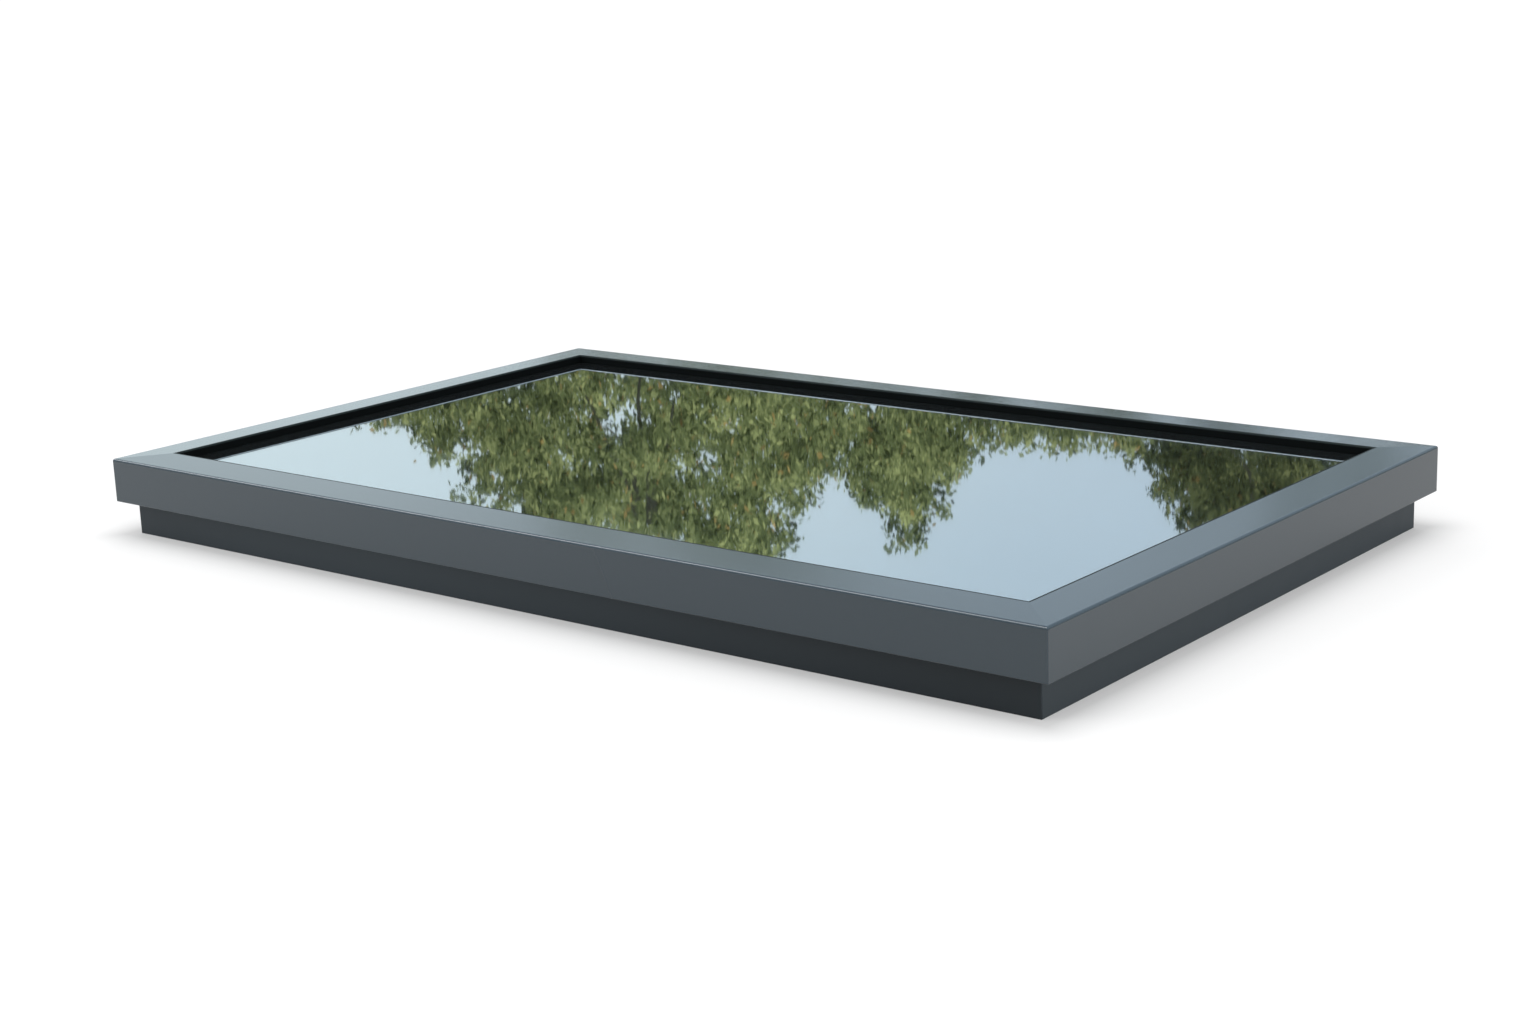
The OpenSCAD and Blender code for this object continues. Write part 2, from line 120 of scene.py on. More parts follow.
# %% [markdown]
# ## Node helpers
# Every finish here is a small graph of nodes. Writing each link by hand is long, so a few short
# helpers carry the work: one adds a node with its values or links, a few add the kinds of node that
# come up again and again, two start an empty graph, and one makes a node group with named sockets,
# for an effect that several finishes share.

# %% Helpers for node graphs
MIX_FACTOR, MIX_A, MIX_B, MIX_RESULT = 0, 6, 7, 2


def add_node(tree, kind, values=None, **options):
    """Adds one node. Its options are set first, then its input sockets, by name or number: a value
    that is itself a socket is linked, and any other value is written into the socket."""
    node = tree.nodes.new(kind)
    for option, setting in options.items():
        setattr(node, option, setting)
    for socket, value in (values or {}).items():
        if isinstance(value, bpy.types.NodeSocket):
            tree.links.new(value, node.inputs[socket])
        else:
            node.inputs[socket].default_value = value
    return node


def math(tree, operation, *values):
    """The result of one sum on single numbers, with the values in order."""
    return add_node(tree, "ShaderNodeMath", dict(enumerate(values)), operation=operation).outputs[0]


def vector_math(tree, operation, *values):
    """The outputs of one sum on vectors, with the values in order."""
    return add_node(tree, "ShaderNodeVectorMath", dict(enumerate(values)), operation=operation).outputs


def ramp(tree, value, low, high, first=0.0, last=1.0):
    """Runs from first to last while the value goes from low to high, and stays level beyond them."""
    values = {"Value": value, "From Min": low, "From Max": high, "To Min": first, "To Max": last}
    return add_node(tree, "ShaderNodeMapRange", values).outputs[0]


def mix_colours(tree, factor, first, second):
    """The first colour where the factor is 0, the second where it is 1."""
    values = {MIX_FACTOR: factor, MIX_A: first, MIX_B: second}
    return add_node(tree, "ShaderNodeMix", values, data_type="RGBA").outputs[MIX_RESULT]


def noise(tree, place, scale, detail=2.0, rough=0.5):
    """Soft noise from 0 to 1 about 0.5, with so many waves to the metre."""
    values = {"Vector": place, "Scale": scale, "Detail": detail, "Roughness": rough}
    return add_node(tree, "ShaderNodeTexNoise", values).outputs["Fac"]


def object_place(tree):
    """The point on the surface in the object's own metres, which no camera move can shift."""
    return add_node(tree, "ShaderNodeTexCoord").outputs["Object"]


def ray_kinds(tree):
    """Two values that say which ray asks: the first is 1 for the camera's own, the second for one that
    a surface has mirrored or let through."""
    path = add_node(tree, "ShaderNodeLightPath").outputs
    return path["Is Camera Ray"], math(tree, "MAXIMUM", path["Is Glossy Ray"], path["Is Transmission Ray"])


def empty_graph(owner):
    """The node graph of a material or world, with nothing in it."""
    owner.use_nodes = True
    owner.node_tree.nodes.clear()
    return owner.node_tree


def new_material(name):
    """A material and its graph, with nothing in it yet."""
    material = bpy.data.materials.new(name)
    return material, empty_graph(material)


def new_group(name, inputs, outputs):
    """A shader node group. inputs gives each socket's kind and first value, outputs each kind."""
    group = bpy.data.node_groups.new(name, "ShaderNodeTree")
    for socket, (kind, value) in inputs.items():
        made = group.interface.new_socket(socket, in_out="INPUT", socket_type="NodeSocket" + kind)
        made.default_value = value
    for socket, kind in outputs.items():
        group.interface.new_socket(socket, in_out="OUTPUT", socket_type="NodeSocket" + kind)
    return group, group.nodes.new("NodeGroupInput").outputs, group.nodes.new("NodeGroupOutput").inputs


print("node helpers ready")

# %% [markdown]
# ## The floor
# The skylight stands on a white studio floor that runs on to the horizon. The floor is a matt pale
# surface, so it keeps the soft shadow under the frame. More light would make it white, but would
# bleach the frame too, so a glow lifts it instead: to the camera it grows from the frame outward,
# fast at first, until floor and backdrop are one white. Right at the base the glow is held low,
# which paints a darker, tighter shadow there. Mirrors see a trace of it. From below the
# floor lets the view through, so the underside of the frame can be looked at.

# %% Floor
FLOOR_HALF = 60.0
FLOOR_WHITE = (0.54, 0.54, 0.54, 1.0)
# Strength of the glow at the base, held low there as painted shadow, at the near and the far distance from
# it, and to mirrors
FLOOR_GLOW_AT_PAINTED_SHADOW, FLOOR_GLOW_NEAR, FLOOR_GLOW_FAR, FLOOR_MIRROR_GLOW = 0.22, 0.495, 0.60, 0.04
FLOOR_NEAR, FLOOR_FAR = 0.08, 3.5
WHITE = (1.0, 1.0, 1.0, 1.0)

floor_corners = FLOOR_HALF * np.array([(-1, -1, 0), (1, -1, 0), (1, 1, 0), (-1, 1, 0)])
floor_mesh = bpy.data.meshes.new("studio_floor")
floor_mesh.from_pydata(floor_corners.tolist(), [], [(0, 1, 2, 3)])
floor = add_object("studio_floor", floor_mesh)

floor_white, tree = new_material("floor_white")
by_camera, by_mirror = ray_kinds(tree)
base_half = (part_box("outer_rail_right")[1].x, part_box("outer_rail_back")[1].y, 0.0)
folded = vector_math(tree, "ABSOLUTE", object_place(tree))["Vector"]
beyond = vector_math(tree, "SUBTRACT", folded, base_half)["Vector"]
outside = vector_math(tree, "MAXIMUM", beyond, (0.0, 0.0, 0.0))["Vector"]
away = vector_math(tree, "LENGTH", outside)["Value"]
# The glow falls towards the base's edge: painted shadow, darker and tighter than the lamps give
close = ramp(tree, away, 0.0, FLOOR_NEAR, 1.0, 0.0)
shade = math(tree, "MULTIPLY", close, close)
near_glow_and_painted_shadow = math(tree, "MULTIPLY_ADD", shade, FLOOR_GLOW_AT_PAINTED_SHADOW - FLOOR_GLOW_NEAR, FLOOR_GLOW_NEAR)
far_glow = ramp(tree, away, FLOOR_NEAR, FLOOR_FAR, 0.0, FLOOR_GLOW_FAR - FLOOR_GLOW_NEAR)
seen = math(tree, "MULTIPLY", by_camera, math(tree, "ADD", near_glow_and_painted_shadow, far_glow))
lift = math(tree, "MULTIPLY_ADD", by_mirror, FLOOR_MIRROR_GLOW, seen)
from_below = add_node(tree, "ShaderNodeNewGeometry").outputs["Backfacing"]
matt = add_node(tree, "ShaderNodeBsdfDiffuse", {"Color": FLOOR_WHITE})
glow = add_node(tree, "ShaderNodeEmission", {"Color": WHITE, "Strength": lift})
lifted = add_node(tree, "ShaderNodeAddShader", {0: matt.outputs[0], 1: glow.outputs[0]})
clear = add_node(tree, "ShaderNodeBsdfTransparent")
one_sided = add_node(
    tree, "ShaderNodeMixShader", {0: from_below, 1: lifted.outputs[0], 2: clear.outputs[0]}
)
add_node(tree, "ShaderNodeOutputMaterial", {"Surface": one_sided.outputs[0]})
floor_mesh.materials.append(floor_white)
print(f"floor {2 * FLOOR_HALF:.0f} m wide, glow from {FLOOR_GLOW_AT_PAINTED_SHADOW} to {FLOOR_GLOW_FAR}")

# %% [markdown]
# ## The surroundings
# The frame needs a white backdrop, an even soft light, and a sky for the glass. No single picture is
# all three, but a world can ask which ray looks: it is white to the camera, a pale sky to mirrors,
# and an even soft light to everything else. The sky pales towards the ground and towards one side,
# and soft noise stands for thin cloud.

# %% World
SKY_LOW = (0.66, 0.79, 0.88, 1.0)
SKY_HIGH = (0.48, 0.61, 0.74, 1.0)
SKY_HIGH_AT = 0.55
SKY_BRIGHT = (0.82, 0.96, 1.0, 1.0)
SKY_BRIGHT_SIDE = (-0.95, 0.31, 0.0)
SKY_BRIGHT_FROM, SKY_BRIGHT_FULL = 0.72, 0.97
CLOUD_SCALE, CLOUD_DETAIL, CLOUD_SWING = 9.0, 3.0, 0.5
AMBIENT_COLOUR = (0.99, 0.995, 1.0, 1.0)
AMBIENT_STRENGTH = 0.86

world = bpy.data.worlds.new("studio")
scene.world = world
tree = empty_graph(world)
by_camera, by_mirror = ray_kinds(tree)
direction = add_node(tree, "ShaderNodeTexCoord").outputs["Generated"]
height = add_node(tree, "ShaderNodeSeparateXYZ", {0: direction}).outputs["Z"]
billow = noise(tree, direction, CLOUD_SCALE, CLOUD_DETAIL)
cloud = math(tree, "MULTIPLY_ADD", billow, CLOUD_SWING, -CLOUD_SWING / 2)
climb = math(tree, "ADD", ramp(tree, height, 0.0, SKY_HIGH_AT), cloud)
towards_bright = vector_math(tree, "DOT_PRODUCT", direction, SKY_BRIGHT_SIDE)["Value"]
haze = ramp(tree, towards_bright, SKY_BRIGHT_FROM, SKY_BRIGHT_FULL)
sky_colour = mix_colours(tree, haze, mix_colours(tree, climb, SKY_LOW, SKY_HIGH), SKY_BRIGHT)
sky = add_node(tree, "ShaderNodeBackground", {"Color": sky_colour})
white = add_node(tree, "ShaderNodeBackground", {"Color": WHITE})
soft = add_node(
    tree, "ShaderNodeBackground", {"Color": AMBIENT_COLOUR, "Strength": AMBIENT_STRENGTH}
)
lit = add_node(tree, "ShaderNodeMixShader", {0: by_mirror, 1: soft.outputs[0], 2: sky.outputs[0]})
shown = add_node(tree, "ShaderNodeMixShader", {0: by_camera, 1: lit.outputs[0], 2: white.outputs[0]})
add_node(tree, "ShaderNodeOutputWorld", {"Surface": shown.outputs[0]})
print(f"sky brightest towards {SKY_BRIGHT_SIDE}, ambient light {AMBIENT_STRENGTH}")

# %% [markdown]
# ## Lamps
# Three broad soft panels shape the frame, as large cloth-covered frames do in a studio: one behind,
# one to the right and one at the front left. They are area lamps, because their size is what makes
# a shadow soft, and mirrors don't show them. Three more lamps are small helpers, and light linking
# keeps each on the parts that it is for. Two low cards lighten the base, which the cap shades. A
# long strip under the ceiling, which only mirrors show, draws the fine light line along the front's
# rounded edge, and is never seen in the glass.

# %% Soft lamps
LAMP_AIM = (0.0, 0.0, 0.06)
STRIP_PLACE, STRIP_AIM = (-3.0, -1.6, 3.1), (-3.0, -1.6, 0.0)


def soft_lamp(name, place, aim, size, power, mirrored=False, lights=None):
    """A flat rectangular lamp that faces its aim. It lights matt surfaces, or else only shines back
    from mirror-like ones, and where a collection is given it lights only that. The camera and clear
    glass never show it."""
    light = bpy.data.lights.new(name, "AREA")
    light.shape = "RECTANGLE"
    light.size, light.size_y = size
    light.energy = power
    lamp = add_object(name, light)
    lamp.location = place
    lamp.rotation_euler = (Vector(aim) - lamp.location).to_track_quat("-Z", "Y").to_euler()
    lamp.visible_camera = lamp.visible_transmission = False
    lamp.visible_glossy, lamp.visible_diffuse = mirrored, not mirrored
    lamp.light_linking.receiver_collection = lights
    print(f"{name}: {size[0]} by {size[1]} m, {power} W")


edge_lit = bpy.data.collections.new("edge_lit")
card_lit = bpy.data.collections.new("card_lit")
soft_lamp("back_panel", (-3.4, 4.6, 3.9), LAMP_AIM, (3.4, 3.4), 50.0)
soft_lamp("right_panel", (2.7, -0.9, 1.0), LAMP_AIM, (1.4, 1.4), 21.0)
soft_lamp("left_panel", (-1.2, -2.2, 1.0), LAMP_AIM, (1.4, 1.4), 20.0)
soft_lamp("right_card", (2.4, 0.1, 0.42), (0.8, 0.1, 0.03), (1.6, 0.24), 50.0, lights=card_lit)
soft_lamp("front_card", (-0.35, -1.45, 0.30), (-0.35, -0.5, 0.03), (0.4, 0.16), 12.5, lights=card_lit)
soft_lamp("ceiling_strip", STRIP_PLACE, STRIP_AIM, (4.4, 1.4), 84.0, mirrored=True, lights=edge_lit)

# %% [markdown]
# ## Something for the glass to mirror
# A pane of glass seen at a low angle is mostly a mirror, so it looks like nothing until there is
# something around it to show. A picture mapped on the world would do, but leaves made of flat
# diamonds are sharper, need no file, and can be put where the glass looks. Crowns stand in a ring:
# the chosen ones where the main view's mirror looks, and drawn ones all round for the other views.

# %% Where the crowns stand
TREE_RANGE = 14.0
TREE_SEED = 11
# Columns of a crown: azimuth from +Y towards -X in degrees, middle height, half width, half height, light
TURN, HIGH, WIDE, TALL, LIGHT = range(5)
NEAR_CROWNS = np.array([
    (49.5, 2.74, 0.24, 0.18, 0.80),
    (48.0, 2.83, 0.36, 0.36, 0.78),
    (46.7, 3.18, 0.33, 0.36, 0.78),
    (45.5, 2.90, 0.47, 0.46, 0.82),
    (44.9, 3.48, 0.39, 0.31, 0.84),
    (42.9, 3.18, 0.55, 0.59, 0.92),
    (44.6, 3.62, 0.38, 0.18, 0.86),
    (42.5, 3.74, 0.40, 0.20, 0.98),
    (40.5, 3.80, 0.34, 0.20, 1.00),
    (40.2, 2.96, 0.55, 0.54, 0.95),
    (40.5, 3.61, 0.43, 0.34, 1.02),
    (39.7, 3.94, 0.20, 0.16, 1.05),
    (38.9, 3.80, 0.14, 0.18, 1.00),
    (38.2, 3.52, 0.20, 0.24, 0.98),
    (37.8, 3.15, 0.42, 0.48, 0.98),
    (35.7, 3.09, 0.38, 0.42, 0.90),
    (34.7, 3.64, 0.20, 0.35, 0.95),
    (35.3, 3.34, 0.28, 0.28, 0.95),
    (34.3, 3.46, 0.22, 0.24, 0.92),
    (33.9, 3.28, 0.26, 0.26, 0.88),
    (33.5, 3.08, 0.30, 0.39, 0.85),
    (32.4, 2.90, 0.40, 0.18, 0.80),
    (31.3, 3.01, 0.55, 0.14, 0.80),
    (31.6, 2.98, 0.50, 0.14, 0.78),
    (30.2, 3.03, 0.44, 0.12, 0.80),
    (29.6, 3.04, 0.50, 0.12, 0.76),
    (29.0, 3.05, 0.40, 0.11, 0.75),
    (28.2, 3.08, 0.26, 0.09, 0.75),
    (27.3, 3.30, 0.12, 0.14, 0.45),
    (26.7, 3.50, 0.14, 0.16, 0.43),
    (25.8, 3.41, 0.36, 0.31, 0.41),
    (24.1, 3.55, 0.43, 0.37, 0.40),
    (24.9, 3.52, 0.34, 0.32, 0.38),
    (26.1, 3.77, 0.15, 0.20, 0.42),
    (22.1, 3.57, 0.34, 0.27, 0.40),
    (23.4, 3.42, 0.40, 0.32, 0.38),
    (20.6, 3.50, 0.38, 0.28, 0.40),
    (44.0, 2.74, 0.24, 0.16, 0.85),
    (39.7, 2.64, 0.24, 0.14, 0.85),
    (44.2, 4.75, 0.60, 0.35, 0.80),
    (40.6, 4.95, 0.70, 0.40, 0.80),
    (38.0, 4.80, 0.40, 0.32, 0.80),
    (20.0, 4.60, 0.60, 0.40, 0.50),
])
# Bushes below them, in the same columns
NEAR_BUSHES = np.array([
    (41.5, 1.70, 1.00, 0.70, 0.60),
    (36.0, 1.80, 1.20, 0.80, 0.50),
    (29.0, 1.90, 1.10, 0.90, 0.45),
    (22.0, 2.00, 1.20, 1.00, 0.40),
])
# Crowns round the rest of the stage: the gap that they leave and their spacing, in degrees, then
# the ranges that each draws its own values from
GAP_FROM, GAP_TO, FAR_SPACING, FAR_OUT_OF_STEP = 18.0, 84.0, 12.0, (-4.0, 4.0)
FAR_MIDDLE_HEIGHT, FAR_HALF_HEIGHT = (2.4, 4.4), (1.2, 2.2)
FAR_HALF_WIDTH, FAR_LIGHT = (0.9, 1.6), (0.55, 0.95)


def ring_crowns(rng):
    """Further crowns all the way round, outside the gap that holds the chosen ones: one every so
    many degrees, each a little out of step, with a height and a width of its own."""
    turn = np.arange(GAP_TO, GAP_FROM + 360.0, FAR_SPACING)
    turn = turn + rng.uniform(*FAR_OUT_OF_STEP, turn.size)
    high, tall = rng.uniform(*FAR_MIDDLE_HEIGHT, turn.size), rng.uniform(*FAR_HALF_HEIGHT, turn.size)
    wide, light = rng.uniform(*FAR_HALF_WIDTH, turn.size), rng.uniform(*FAR_LIGHT, turn.size)
    return np.column_stack((turn, high, wide, tall, light))


def place_on_ring(azimuth, height, offset):
    """Points round the stage. At an azimuth from +Y towards -X, outward is (-sin, cos) and along the
    ring is (-cos, -sin); each offset is along, outward and up from a point at the tree range."""
    azimuth = np.radians(azimuth)[:, None]
    outward = np.concatenate((-np.sin(azimuth), np.cos(azimuth)), 1)
    along = np.concatenate((-np.cos(azimuth), -np.sin(azimuth)), 1)
    level = along * offset[:, :1] + outward * (TREE_RANGE + offset[:, 1:2])
    return np.column_stack((level, height + offset[:, 2]))


rng = np.random.default_rng(TREE_SEED)
far_crowns = ring_crowns(rng)
print(f"{len(NEAR_CROWNS)} chosen crowns, {len(far_crowns)} round the rest of the stage")

# %% [markdown]
# ## Leaves
# Light falls on tufts of leaves: a bough is pale on top and dark beneath, and the eye reads that even
# in a mirror. A particle system could scatter the leaves, but whole arrays of numbers are quicker and
# come out the same each time. A crown is a set of boughs in an egg-shaped space, each bough a set of
# twigs, and each twig a small cloud of leaves. A low hedge closes the ring, open on the side where
# the sky is brightest.

# %% Leaves
NEAR_BOUGHS, FAR_BOUGHS, FAR_SIZE = 112.0, 18.0, 1.3
TWIGS_PER_BOUGH, LEAVES_PER_TWIG, FILL_PER_BOUGH = 8, 24, 4
BOUGH_HALF = np.array((0.19, 0.19, 0.14))
TWIG_SPREAD = 0.038
LEAF_HALF_LENGTH = (0.015, 0.031)
LEAF_SLIMNESS = 0.6
LEAF_DRAW = np.array((1.0, 1.0, 1.5))
FILL_HALF_LENGTH, FILL_LIGHT = (0.03, 0.07), (0.4, 1.6)
FILL_SETBACK = (0.0, 0.40, 0.0)
# Light from 0 to 1: a bough's mean and spread, what height and depth in the bough add, a leaf's spread
BOUGH_LIGHT, BOUGH_LIGHT_SPREAD = 0.38, 0.07
HIGH_TWIG_LIGHT, DEEP_TWIG_LIGHT = 0.30, -0.08
LEAF_LIGHT_SPREAD, TURNED_LEAST_LIGHT = 0.20, 0.2
HEDGE_LEAVES, HEDGE_TOP, HEDGE_HALF_LENGTH, HEDGE_LIGHT = 7000, 1.2, (0.12, 0.26), (0.5, 2.0)
HEDGE_FROM, HEDGE_TO = 84.0, 406.0
HEDGE_SPREAD, HEDGE_SETBACK = (0.0, 0.3, 0.12), (0.0, 1.0, 0.0)
LEAF_DARK = np.array((0.014, 0.021, 0.003))
LEAF_MIDDLE = np.array((0.135, 0.172, 0.066))
LEAF_PALE = np.array((0.460, 0.520, 0.210))
LEAF_TURNED = np.array((0.480, 0.350, 0.120))
# Dark green of the fill leaves, which paint the shade inside the crowns, and of the hedge
LEAF_FILL = np.array((0.034, 0.043, 0.016))
TURNED_SHARE = 0.02


def unit_vectors(rng, count):
    """Directions spread evenly over a ball: normal draws in x, y and z, divided by their length."""
    draws = rng.normal(size=(count, 3))
    return draws / np.linalg.norm(draws, axis=1, keepdims=True)


def ball_spots(rng, count):
    """Points spread evenly through a ball of radius 1: directions times the cube root of even draws."""
    return unit_vectors(rng, count) * rng.uniform(size=(count, 1)) ** (1 / 3)


def diamonds(rng, middle, half):
    """Four corners for each leaf: its middle plus and minus a long axis in an even direction and a
    shorter axis square to it, both drawn out upright as a wavy mirror draws them."""
    long_axis = unit_vectors(rng, len(middle))
    short_axis = LEAF_SLIMNESS * np.cross(long_axis, unit_vectors(rng, len(middle)))
    offsets = np.stack((long_axis, short_axis, -long_axis, -short_axis), 1)
    return middle[:, None] + offsets * half[:, None, None] * LEAF_DRAW


def leaf_shade(light):
    """Dark to middle green over the first half of the light, middle to pale green over the rest."""
    low, high = np.clip(2 * light, 0, 1), np.clip(2 * light - 1, 0, 1)
    return LEAF_DARK + (LEAF_MIDDLE - LEAF_DARK) * low + (LEAF_PALE - LEAF_MIDDLE) * high


def crown_leaves(rng, crowns, boughs_per_area, size):
    """Corners and colours of the leaves of some crowns. Boughs fill a crown's egg shape, twigs fill a
    bough's smaller one, and leaves lie a normal draw away from their twig. A leaf's colour holds
    painted light: it is lighter where its twig is high in its bough, and each bough has a light of
    its own. Larger dark leaves behind each bough paint the shade inside it, which gives it depth."""
    boughs = np.ceil(boughs_per_area * crowns[:, WIDE] * crowns[:, TALL]).astype(int)
    crown = crowns[np.repeat(np.arange(len(crowns)), boughs)]
    bough = ball_spots(rng, len(crown)) * crown[:, (WIDE, WIDE, TALL)]
    bough_light = BOUGH_LIGHT + rng.normal(0.0, BOUGH_LIGHT_SPREAD, len(crown))
    own = np.repeat(np.arange(len(crown)), TWIGS_PER_BOUGH)
    twig_spot = ball_spots(rng, len(own))
    twig = bough[own] + twig_spot * BOUGH_HALF * size
    twig_light = bough_light[own] + HIGH_TWIG_LIGHT * twig_spot[:, 2] + DEEP_TWIG_LIGHT * twig_spot[:, 1]
    crown_of_twig = crown[own]
    own = np.repeat(np.arange(len(twig)), LEAVES_PER_TWIG)
    offset = twig[own] + rng.normal(size=(len(own), 3)) * TWIG_SPREAD * size
    middle = place_on_ring(crown_of_twig[own, TURN], crown_of_twig[own, HIGH], offset)
    leaves = diamonds(rng, middle, size * rng.uniform(*LEAF_HALF_LENGTH, len(own)))
    light = np.clip(twig_light[own] + rng.normal(0.0, LEAF_LIGHT_SPREAD, len(own)), 0.0, 1.0)[:, None]
    turned = rng.uniform(size=(len(own), 1)) < TURNED_SHARE
    colour = np.where(turned, LEAF_TURNED * (TURNED_LEAST_LIGHT + light), leaf_shade(light))
    colour = colour * crown_of_twig[own, LIGHT:]
    # Dark fill leaves behind each bough: painted shade
    own = np.repeat(np.arange(len(crown)), FILL_PER_BOUGH)
    offset = bough[own] + ball_spots(rng, len(own)) * BOUGH_HALF * size + FILL_SETBACK
    middle = place_on_ring(crown[own, TURN], crown[own, HIGH], offset)
    fill = diamonds(rng, middle, size * rng.uniform(*FILL_HALF_LENGTH, len(own)))
    shade_fill_colour = LEAF_FILL * rng.uniform(*FILL_LIGHT, (len(own), 1)) * crown[own, LIGHT:]
    return np.concatenate((leaves, fill)), np.concatenate((colour, shade_fill_colour))


def hedge_leaves(rng):
    """A low dark hedge, open on the bright side: even draws of azimuth and height."""
    offset = rng.normal(size=(HEDGE_LEAVES, 3)) * HEDGE_SPREAD + HEDGE_SETBACK
    turn = rng.uniform(HEDGE_FROM, HEDGE_TO, HEDGE_LEAVES)
    middle = place_on_ring(turn, rng.uniform(0.0, HEDGE_TOP, HEDGE_LEAVES), offset)
    colour = LEAF_FILL * rng.uniform(*HEDGE_LIGHT, (HEDGE_LEAVES, 1))
    return diamonds(rng, middle, rng.uniform(*HEDGE_HALF_LENGTH, HEDGE_LEAVES)), colour


clouds = (
    crown_leaves(rng, NEAR_CROWNS, NEAR_BOUGHS, 1.0),
    crown_leaves(rng, np.concatenate((NEAR_BUSHES, far_crowns)), FAR_BOUGHS, FAR_SIZE),
    hedge_leaves(rng),
)
leaf_corners = np.concatenate([corners for corners, _ in clouds])
leaf_colours = np.concatenate([colours for _, colours in clouds])
print(f"{len(leaf_corners)} leaves")

# %% [markdown]
# ## Limbs
# Between the tufts bare limbs show as thin dark lines, and without them the crowns look like clouds.
# Curves with a round section would do, but from here a limb is only as wide as its outline, so each
# is a flat strip that faces the skylight and thins towards its end.

# %% Limbs
# Azimuth and height of each limb's thick end, then of its thin end
NEAR_LIMBS = np.array([
    (42.9, 3.74, 44.4, 2.72),
    (42.5, 3.70, 42.5, 2.52),
    (42.8, 3.52, 43.5, 2.95),
    (42.3, 3.62, 41.4, 2.80),
    (24.4, 3.70, 25.2, 3.10),
])
LIMBS_PER_TRUNK = 4
LIMB_STATIONS = 10
LIMB_THICK_HALF, LIMB_THIN_HALF = 0.021, 0.009
LIMB_FORWARD = 0.26
LIMB_BEND = 0.05
LIMB_COLOUR = np.array((0.040, 0.042, 0.030))
# Where a trunk's limb ends, in half widths aside of its crown's middle and half heights above it
LIMB_END_ASIDE, LIMB_END_ABOVE = (-0.5, 0.5), (-0.2, 0.7)


def trunk_limbs(rng, crowns):
    """The two ends of the limbs of some crowns: from the ground under a crown's middle to a height
    under its top, up to half of its width aside."""
    crown = np.repeat(crowns, LIMBS_PER_TRUNK, 0)
    aside = rng.uniform(*LIMB_END_ASIDE, len(crown)) * np.degrees(crown[:, WIDE] / TREE_RANGE)
    top = crown[:, HIGH] + rng.uniform(*LIMB_END_ABOVE, len(crown)) * crown[:, TALL]
    return np.column_stack((crown[:, TURN], np.zeros(len(crown)), crown[:, TURN] + aside, top))


def limb_strips(rng, limbs):
    """Quads of all limbs: the line between a limb's two ends, bowed by a parabola and bent by one wave
    of a sine that grows towards the thin end, as a strip that thins evenly."""
    t = np.linspace(0.0, 1.0, LIMB_STATIONS)
    thick_turn, thick_height, thin_turn, thin_height = limbs.T[:, :, None]
    turn = thick_turn + (thin_turn - thick_turn) * t ** 2
    height = thick_height + (thin_height - thick_height) * t
    sway = LIMB_BEND * np.sin(2 * np.pi * (t + rng.uniform(size=(len(limbs), 1)))) * t
    half = LIMB_THICK_HALF + (LIMB_THIN_HALF - LIMB_THICK_HALF) * t
    aside = np.stack((sway - half, sway + half), -1).ravel()
    offset = aside[:, None] * (1.0, 0.0, 0.0) - (0.0, LIMB_FORWARD, 0.0)
    edge = place_on_ring(np.repeat(turn, 2), np.repeat(height, 2), offset)
    edge = edge.reshape(len(limbs), LIMB_STATIONS, 2, 3)
    corners = (edge[:, :-1, 0], edge[:, :-1, 1], edge[:, 1:, 1], edge[:, 1:, 0])
    return np.stack(corners, 2).reshape(-1, 4, 3)


limb_corners = limb_strips(rng, np.concatenate((NEAR_LIMBS, trunk_limbs(rng, far_crowns))))
print(f"{len(limb_corners)} limb faces")

# %% [markdown]
# ## The trees on the stage
# Every leaf has a colour of its own. A material for each would be far too many, so the colour is
# stored at the corners, and one glowing material reads it there; the lamps can then be set for the
# frame alone. Only mirror rays meet the trees: the camera, the lamps and the shadows pass as if they
# weren't there.

# %% Put the trees on the stage
TREE_PIECES = 4

leaf_light, tree = new_material("leaf_light")
tint = add_node(tree, "ShaderNodeAttribute", attribute_name="leaf_tint").outputs["Color"]
shine = add_node(tree, "ShaderNodeEmission", {"Color": tint})
add_node(tree, "ShaderNodeOutputMaterial", {"Surface": shine.outputs[0]})


def stage_trees(name, quads, colours):
    """One mesh of loose quads whose four corners have the quad's colour, seen by mirror rays only."""
    mesh = bpy.data.meshes.new(name)
    corner_numbers = np.arange(4 * len(quads)).reshape(-1, 4)
    mesh.from_pydata(quads.reshape(-1, 3).tolist(), [], corner_numbers.tolist())
    tints = np.ones((len(quads), 4, 4), np.float32)
    tints[..., :3] = colours[:, None]
    mesh.attributes.new("leaf_tint", "FLOAT_COLOR", "POINT").data.foreach_set("color", tints.ravel())
    mesh.materials.append(leaf_light)
    trees = add_object(name, mesh)
    trees.visible_camera = trees.visible_diffuse = trees.visible_shadow = False
    trees.visible_volume_scatter = False
    print(f"{name}: {len(quads)} faces")


tree_quads = np.concatenate((leaf_corners, limb_corners))
tree_colours = np.concatenate((leaf_colours, np.broadcast_to(LIMB_COLOUR, (len(limb_corners), 3))))
shares = np.array_split(np.arange(len(tree_quads)), TREE_PIECES)
for number, share in enumerate(shares, 1):
    stage_trees(f"mirrored_trees_{number}", tree_quads[share], tree_colours[share])

# %% [markdown]
# ## A skin that all finishes share
# Powder coat is not one flat colour: the powder melts into a skin with a faint orange peel, and its
# shade and gloss drift a little over a metre. Rubber, plastic and foam drift in the same way at
# other scales. Each could have noises of its own, but one node group with sockets for the colour,
# the gloss and the grain serves them all.

